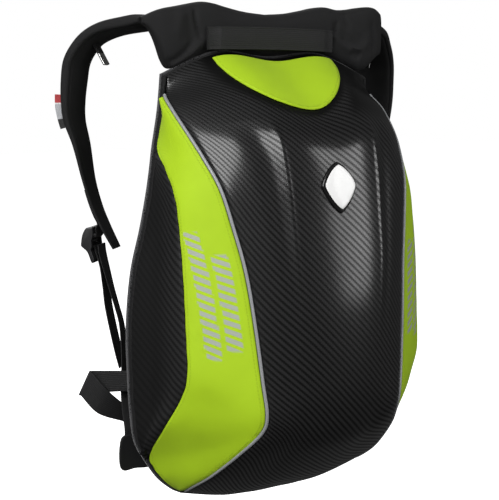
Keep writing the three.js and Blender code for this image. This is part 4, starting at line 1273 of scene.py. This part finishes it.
@dataclass
class ShoulderStrap:
    """A padded strap with what is sewn on it, made on the left and mirrored."""

    side: Side
    root_side: float = 110.0
    root_height: float = 486.0
    reach: float = 72.0
    sweep: float = 66.0
    drop: float = 223.0
    width: float = 56.0
    thickness: float = 13.0
    web_width: float = 20.0
    web_thickness: float = 1.6
    plane_turn: float = math.radians(47)
    right_lift: float = 10.0
    lock_out: float = 73.0
    lock_top: float = 285.0
    keeper_station: float = 4.2
    keeper_width: float = 14.0
    keeper_thickness: float = 3.0
    loop_end: float = 10.0
    ring_end: float = 22.0
    tab_stations: tuple[float, float] = (7.75, 9.25)
    tab_width: float = 6.0
    tab_thickness: float = 1.2
    tab_shift: float = 0.36

    def hand(self, points: Array) -> Array:
        """Points of the left strap, or their mirror image."""
        return points * [-self.side.value, 1, 1]

    def frames(self, t: Array) -> tuple[Array, Array, Array, Array, Array]:
        """Middles, width directions, outward directions, widths and thicknesses."""
        rows = np.array(STRAP_STATIONS, float)
        points = np.stack([-self.root_side - self.reach * rows[:, 0] / 100, -self.sweep * rows[:, 1] / 100,
                           self.root_height - self.drop * rows[:, 2] / 100], -1)
        last = len(rows) - 1
        if self.side is Side.RIGHT:
            points[:, 2] += self.right_lift * np.clip(1 - np.arange(last + 1) / 4, 0, 1)
        middle = along(points, t)
        way = along(points, np.minimum(t + 0.05, last)) - along(points, np.maximum(t - 0.05, 0))
        shape = along(rows[:, 3:], t)
        turn = np.radians(shape[:, 2])
        wide = level_way(turn)
        face = unit(np.cross(way, wide))
        across = unit(wide - face * np.sum(wide * face, -1, keepdims=True))
        return middle, across, face, self.width * shape[:, 0] / 100, self.thickness * shape[:, 1] / 100

    def pad(self) -> bpy.types.Object:
        """Superellipse sections with a seam groove beside each edge."""
        t = np.linspace(0.35, len(STRAP_STATIONS) - 1, 240)
        middle, across, face, width, thick = self.frames(t)
        thick = thick * (0.6 + 0.4 * smoothstep(t, 0.35, 1.3))
        c, s = superellipse(64, 0.5, 0.6)
        groove = 1 - 0.16 * np.exp(-(((np.abs(c) - 0.86) / 0.035) ** 2))
        rings = (
            middle[:, None]
            + across[:, None] * (c[:, None] * width[:, None, None] / 2)
            + face[:, None] * ((s * groove)[:, None] * thick[:, None, None] / 2)
        )
        uv = grid(c * width[:, None] / 2, lengths(middle)[:, None])
        return skin(f"padded_strap_{self.side.word}", self.hand(rings), uv)

    def plane(self, out: Array, height: Array) -> Array:
        """Points in the strap's lower plane: outward from the strap's root and up."""
        x = -self.root_side - 2 - math.sin(self.plane_turn) * out
        return grid(x, -math.cos(self.plane_turn) * out, height)

    def flat(self, places: Sequence[tuple]) -> Array:
        """Edge pairs of webbing whose middles stand in the strap's lower plane."""
        wide = level_way(np.array(self.plane_turn)) * self.web_width / 2
        return edge_pairs(self.plane(*np.array(places, float).T), wide)

    def webbing(self) -> bpy.types.Object:
        """Webbing sewn on the strap's outer face and hooked into the ladder lock."""
        middle, across, face, _, thick = self.frames(np.array([11.3, 11.6, 12, 12.4, 12.8]))
        on = middle + face * (thick / 2 + self.web_thickness / 2 + SEAM_GAP)[:, None]
        sewn = edge_pairs(on, across * self.web_width / 2)
        hook = self.flat([(71.4, 283.5), (71.4, 276), (74.5, 273.6), (79, 273.6)])
        edges = self.hand(np.concatenate([sewn, hook]))
        return band(f"sewn_webbing_{self.side.word}", edges, self.web_thickness)

    def tail(self) -> bpy.types.Object:
        """The free tail, from its cut end up and over the ladder lock's bar."""
        places = [(49, 142), (54, 161), (62.4, 201), (65, 224), (67.6, 244), (71, 257), (74.2, 265.5),
                  (78, 266.6), (81, 269), (80.4, 272.4)]
        return band(f"free_tail_{self.side.word}", self.hand(self.flat(places)), self.web_thickness)

    def run(self) -> bpy.types.Object:
        """The loaded run, from the ladder lock down to the tab at the pack's foot."""
        places = [(69.4, 267), (68.2, 257), (64, 240), (59, 221), (54, 204), (49, 184)]
        upper = self.plane(*np.array(places, float).T)
        foot = np.array([(-147, -28, 150), (-148, -22, 121), (-149, -13, 104), (-149, -6.2, 88),
                         (-149, -5.1, 80), (-149, -5.1, 56)], float)
        turn = np.radians([47, 47, 50, 54, 56, 54, 44, 26, 10, 0, 0, 0])
        edges = edge_pairs(np.concatenate([upper, foot]), level_way(turn) * self.web_width / 2)
        return band(f"loaded_run_{self.side.word}", self.hand(edges), self.web_thickness)

    def anchor(self) -> bpy.types.Object:
        """The folded tab that the loaded run is sewn to, with rounded edges."""
        corners = [(-139, 80), (-131, 46), (-150, 44), (-165, 46), (-164, 76), (-150, 79)]
        widths = np.array([0, 0.4, 1.2, 2.4, 3.2, 3.5])
        inset = np.array([0.6, 0.1, 0, 0, 0.1, 0.6])
        return extruded(f"foot_tab_{self.side.word}", corners, widths, inset,
                        lambda x, z, w: self.hand(grid(x, -w - SEAM_GAP, z)))

    def lock(self) -> bpy.types.Object:
        """The ladder lock: two curved rails, a head, a lipped foot and the bar between them."""
        word = self.side.word
        profile = [(0.5, 0), (4, 0), (7.5, -1.5), (11, -8), (12.5, -17), (12, -19.5), (6, -25), (2, -35),
                   (-0.5, -35), (-1, -31), (2, -23), (1, -19), (1.5, -13), (0, -9), (0, -2)]
        head = [(0.5, 0), (4, 0), (7.5, -1.5), (10, -6), (5, -7), (0, -6.5), (0, -2)]
        foot = [(2.2, -21), (12, -20), (6, -25), (2, -35), (-0.5, -35), (-1, -31), (2, -23)]
        turn = np.arange(10) / 10 * 2 * np.pi
        bar = np.stack([5 + 1.8 * np.cos(turn), -14.5 + 1.8 * np.sin(turn)], -1)
        side_way = level_way(np.array(self.plane_turn))
        ends = np.array([0.5, 0.15, 0, 0, 0.15, 0.5])

        def place(out: Array, down: Array, width: Array) -> Array:
            """Profile places to the body frame, the width across the strap's plane."""
            places = self.plane(self.lock_out + out, self.lock_top + down)
            return self.hand(places + side_way * width[..., None])

        def part(outline: Sequence[tuple], start: float, end: float) -> bpy.types.Object:
            """One part of the lock, rounded by half a millimetre at both ends."""
            widths = np.array([start, start + 0.15, start + 0.5, end - 0.5, end - 0.15, end])
            return extruded(f"lock_part_{word}", outline, widths, ends, place)

        parts = [part(profile, -15, -12), part(profile, 12, 15), part(head, -13, 13),
                 part(foot, -13, 13), part(bar, -13.5, 13.5)]
        return joined(f"moulded_lock_{word}", parts)

    def keeper(self, name: str, start: float, end: float, hem: float) -> bpy.types.Object:
        """A stretch of the short loop that hangs from the strap's inner face."""
        middle, across, face, _, thick = (a[0] for a in self.frames(np.array([self.keeper_station])))
        root = middle - face * (thick / 2 + SEAM_GAP)
        drop = unit(-0.86 * face + np.array([0, 0, -0.35]))
        places = root + drop * np.linspace(start, end, 5)[:, None]
        edges = self.hand(edge_pairs(places, across * self.keeper_width / 2))
        return band(f"{name}_{self.side.word}", edges, self.keeper_thickness, hem=hem)

    def tab(self) -> bpy.types.Object:
        """A small flat tab in the strap's outer seam."""
        t = np.linspace(*self.tab_stations, 14)
        middle, across, face, width, thick = self.frames(t)
        rise = 0.91 * thick / 2 + 2 * SEAM_GAP
        foot = middle + face * rise[:, None] - across * (self.tab_shift * width)[:, None]
        tip = foot + face * (self.tab_width + 0.5 * np.sin(np.linspace(0, 5, 14)))[:, None]
        return band("small_woven_tab", self.hand(np.stack([foot, tip], 1)), self.tab_thickness, steps=3)

    def waist_webbing(self) -> bpy.types.Object:
        """The belt half: out from the back edge, folded back and round behind the pack."""
        start = np.array([-146.0, -5.0, 0.0])
        out, back = np.array([-0.866, -0.5, 0]), np.array([0.5, -0.866, 0])
        rows = [
            # out and height of the upper edge, out and height of the lower one, back of both
            (-7, 143, -7, 122, 0), (20, 143, 22, 121.5, 0), (43, 143, 54, 118, 0),
            (44.6, 143, 55.6, 118, -1.6), (43, 142, 54, 117.5, -3.2), (27, 123, 38, 100, -3.2),
            (11, 105, 14, 88, 9),
        ]
        loop = [[start + out * a + back * turn + [0, 0, level] for a, level in ((upper, high), (lower, low))]
                for upper, high, lower, low, turn in rows]
        behind = [((x, -y, high), (x, -y, low))
                  for x, y, high, low in ((-138, 24, 99, 79), (-112, 21, 97, 75), (-27.3, 17, 96, 74))]
        edges = self.hand(np.array(loop + behind, float))
        return band(f"waist_band_{self.side.word}", edges, self.web_thickness)

    def dress(self) -> None:
        """Build and finish the strap and everything sewn on it."""
        ring_start = self.loop_end + SEAM_GAP
        for piece, finish, node in (
            (self.pad(), CLOTH, "shoulder_strap"),
            (self.webbing(), WEB, "strap_webbing"),
            (self.tail(), WEB, "adjuster_tail"),
            (self.run(), WEB, "adjuster_run"),
            (self.anchor(), WEB, "lower_anchor"),
            (self.lock(), PLASTIC, "ladder_lock"),
            (self.keeper("keeper_loop", SEAM_GAP, self.loop_end, 0.25), WEB, "chest_loop"),
            (self.keeper("keeper_ring", ring_start, self.ring_end, 0.4), STEEL, "chest_ring"),
            (self.waist_webbing(), WEB, "waist_webbing"),
        ):
            finish_piece(piece, finish, [f"{node}_{self.side.word}"])
        if self.side is Side.LEFT:
            finish_piece(self.tab(), TAB, ["strap_tab"])


@dataclass
class Badge:
    """A plain lozenge on the crown: a black rim and a pale inlay."""

    half_width: float = 19.0
    half_height: float = 24.0
    lift: float = 0.6
    thickness: float = 2.2
    rim: float = 2.4
    middle: float = 5.25
    power: float = 1.35

    def lozenge(
        self, name: str, half_wide: float, half_tall: float, lift: float, rise: float
    ) -> bpy.types.Object:
        """A rounded lozenge laid on the shell, domed towards its middle."""
        t = np.full(1, self.middle)
        wide = PACK.across_share(PACK.crown, t, half_wide)[0]
        step = PACK.smooth(np.full(2, PACK.crown), np.array([self.middle - 0.5, self.middle + 0.5]))
        tall = half_tall / np.linalg.norm(step[1] - step[0])
        angle = np.arange(120) / 120 * 2 * np.pi
        c, s = np.cos(angle), np.sin(angle)
        shrink = (np.abs(c) ** self.power + np.abs(s) ** self.power) ** (-1 / self.power)
        scale = np.concatenate([np.linspace(0.01, 0.9, 10), [0.95, 0.98, 1.0]])
        u = PACK.crown + wide * scale[:, None] * (shrink * c)
        v = self.middle + tall * scale[:, None] * (shrink * s)
        dome = np.sqrt(np.clip(1 - scale**6, 0, 1))[:, None] * np.ones_like(u)
        over = PACK.point(u, v, lift + rise * (0.25 + 0.75 * dome))
        under = PACK.point(u, v, np.full_like(u, lift))
        return skin(name, np.concatenate([under, over[::-1]]))

    def dress(self) -> None:
        """Build and finish the badge's two pieces."""
        base = self.lozenge("lozenge_rim", self.half_width, self.half_height, self.lift, self.thickness)
        finish_piece(base, RIM, ["badge_base"])
        lift = self.lift + self.thickness + SEAM_GAP
        inner = (self.half_width - self.rim, self.half_height - 1.5 * self.rim)
        face = self.lozenge("lozenge_inlay", *inner, lift, self.thickness / 2)
        finish_piece(face, INLAY, ["badge_face"])


@dataclass
class WaistBuckle:
    """The belt's fastened buckle behind the pack, one plain moulded piece."""

    width: float = 54.0
    height: float = 34.0
    thickness: float = 11.0
    behind: float = 17.0
    level: float = 85.0

    def dress(self) -> None:
        """Build the rounded body and finish it."""
        half, high = self.width / 2, self.height / 2
        outline = [(-half, -high + 5), (-half / 2, -high + 1.2), (0, -high + 0.4), (half / 2, -high + 1.2),
                   (half, -high + 5), (half, high - 5), (half / 2, high - 1.2), (0, high - 0.4),
                   (-half / 2, high - 1.2), (-half, high - 5)]
        through = self.thickness / 2
        widths = np.array([-1, -0.9, -0.65, 0.65, 0.9, 1]) * through
        inset = np.array([2.0, 0.7, 0, 0, 0.7, 2.0])
        piece = extruded("fastened_buckle", outline, widths, inset,
                         lambda x, z, w: grid(x, w - self.behind, z + self.level))
        finish_piece(piece, PLASTIC, ["waist_buckle"])


# Camera, light and floor


@dataclass
class Studio:
    """Pale floor, soft lights, and the camera at the photo's angle."""

    target: tuple[float, float, float] = (-0.0595, -0.082, 0.0398)
    azimuth: float = -30.0
    elevation: float = 8.0
    distance: float = 1.056
    lens: float = 79.2
    floor_height: float = -0.36
    floor_reach: float = 9.0
    fill_strength: float = 0.06
    light_distance: float = 2.2

    def aimed(self, data: bpy.types.ID, azimuth: float, elevation: float, distance: float) -> bpy.types.Object:
        """A camera or light on a sphere round the target, looking at it.

        Args:
            data: The camera's or light's data.
            azimuth: Degrees to the right of straight before the shell.
            elevation: Degrees above the target.
            distance: The sphere's radius in metres.

        Returns:
            The object, linked to the scene.
        """
        turn, rise = math.radians(azimuth), math.radians(elevation)
        way = Vector((math.sin(turn) * math.cos(rise), -math.cos(turn) * math.cos(rise), math.sin(rise)))
        thing = bpy.data.objects.new(data.name, data)
        thing.location = Vector(self.target) + way * distance
        thing.rotation_euler = way.to_track_quat("Z", "Y").to_euler()
        bpy.context.collection.objects.link(thing)
        return thing

    def camera(self) -> None:
        """The camera at the photo's angle."""
        data = bpy.data.cameras.new("photo_camera")
        data.lens = self.lens
        data.sensor_width = 36.0
        data.clip_end = 50.0
        bpy.context.scene.camera = self.aimed(data, self.azimuth, self.elevation, self.distance)

    def light(
        self, name: str, azimuth: float, elevation: float, size: tuple, power: float, mirrored: bool = True
    ) -> None:
        """A soft rectangular light.

        Args:
            name: The light's name.
            azimuth: Degrees to the right of straight before the shell.
            elevation: Degrees above the target.
            size: Width and height in metres.
            power: Watts.
            mirrored: Whether glossy surfaces mirror it.
        """
        data = bpy.data.lights.new(name, "AREA")
        data.shape = "RECTANGLE"
        data.size, data.size_y = size
        data.energy = power
        self.aimed(data, azimuth, elevation, self.light_distance).visible_glossy = mirrored

    def floor(self) -> None:
        """A wide pale floor, bright enough to fade into the background."""
        mesh = bpy.data.meshes.new("pale_floor")
        reach = self.floor_reach
        corners = [(-reach, -reach), (reach, -reach), (reach, reach), (-reach, reach)]
        mesh.from_pydata([(x, y, self.floor_height) for x, y in corners], [], [(0, 1, 2, 3)])
        floor = bpy.data.objects.new("pale_floor", mesh)
        bpy.context.collection.objects.link(floor)
        paint = Paint("pale_floor")
        white = (1.0, 1.0, 1.0)
        paint.set(Base_Color=(0.9, 0.9, 0.9), Roughness=0.9, Emission_Color=white, Emission_Strength=1.0)
        mesh.materials.append(paint.material)
        floor.visible_diffuse = False
        floor.visible_glossy = False

    def surround(self) -> None:
        """White background to the camera, soft grey fill to the object."""
        world = bpy.data.worlds.new("pale_surround")
        world.use_nodes = True
        nodes, links = world.node_tree.nodes, world.node_tree.links
        fill, seen = nodes["Background"], nodes.new("ShaderNodeBackground")
        for node, strength in ((fill, self.fill_strength), (seen, 1.0)):
            node.inputs["Color"].default_value = (1.0, 1.0, 1.0, 1.0)
            node.inputs["Strength"].default_value = strength
        mix = nodes.new("ShaderNodeMixShader")
        path = nodes.new("ShaderNodeLightPath")
        links.new(path.outputs["Is Camera Ray"], mix.inputs[0])
        links.new(fill.outputs[0], mix.inputs[1])
        links.new(seen.outputs[0], mix.inputs[2])
        links.new(mix.outputs[0], nodes["World Output"].inputs["Surface"])
        bpy.context.scene.world = world

    def build(self) -> None:
        """Set the camera, the lights, the floor and the surround."""
        self.camera()
        self.light("key_left", -62, 33, (1.3, 1.5), 50.0)
        self.light("key_right", 43, 16, (0.75, 1.3), 17.0)
        self.light("back", 180, 35, (1.8, 1.8), 16.0)
        self.light("fill_left", -70, 8, (2.0, 2.0), 20.0, mirrored=False)
        self.light("fill_front", 0, 5, (2.0, 2.0), 14.0, mirrored=False)
        self.floor()
        self.surround()
        bpy.context.scene.view_settings.view_transform = "Standard"


def main() -> None:
    """Build the sub-assemblies in order."""
    logging.basicConfig(level=logging.INFO, format="%(name)s: %(message)s")
    Studio().build()
    CarbonShell().dress()
    TopPanel().dress()
    for side in Side:
        SideWall(side).dress()
    EdgeBinding().dress()
    BackPanel().dress()
    Yoke().dress()
    HaulHandle().dress()
    for side in Side:
        ShoulderStrap(side).dress()
    Badge().dress()
    WaistBuckle().dress()


if __name__ == "__main__":
    main()
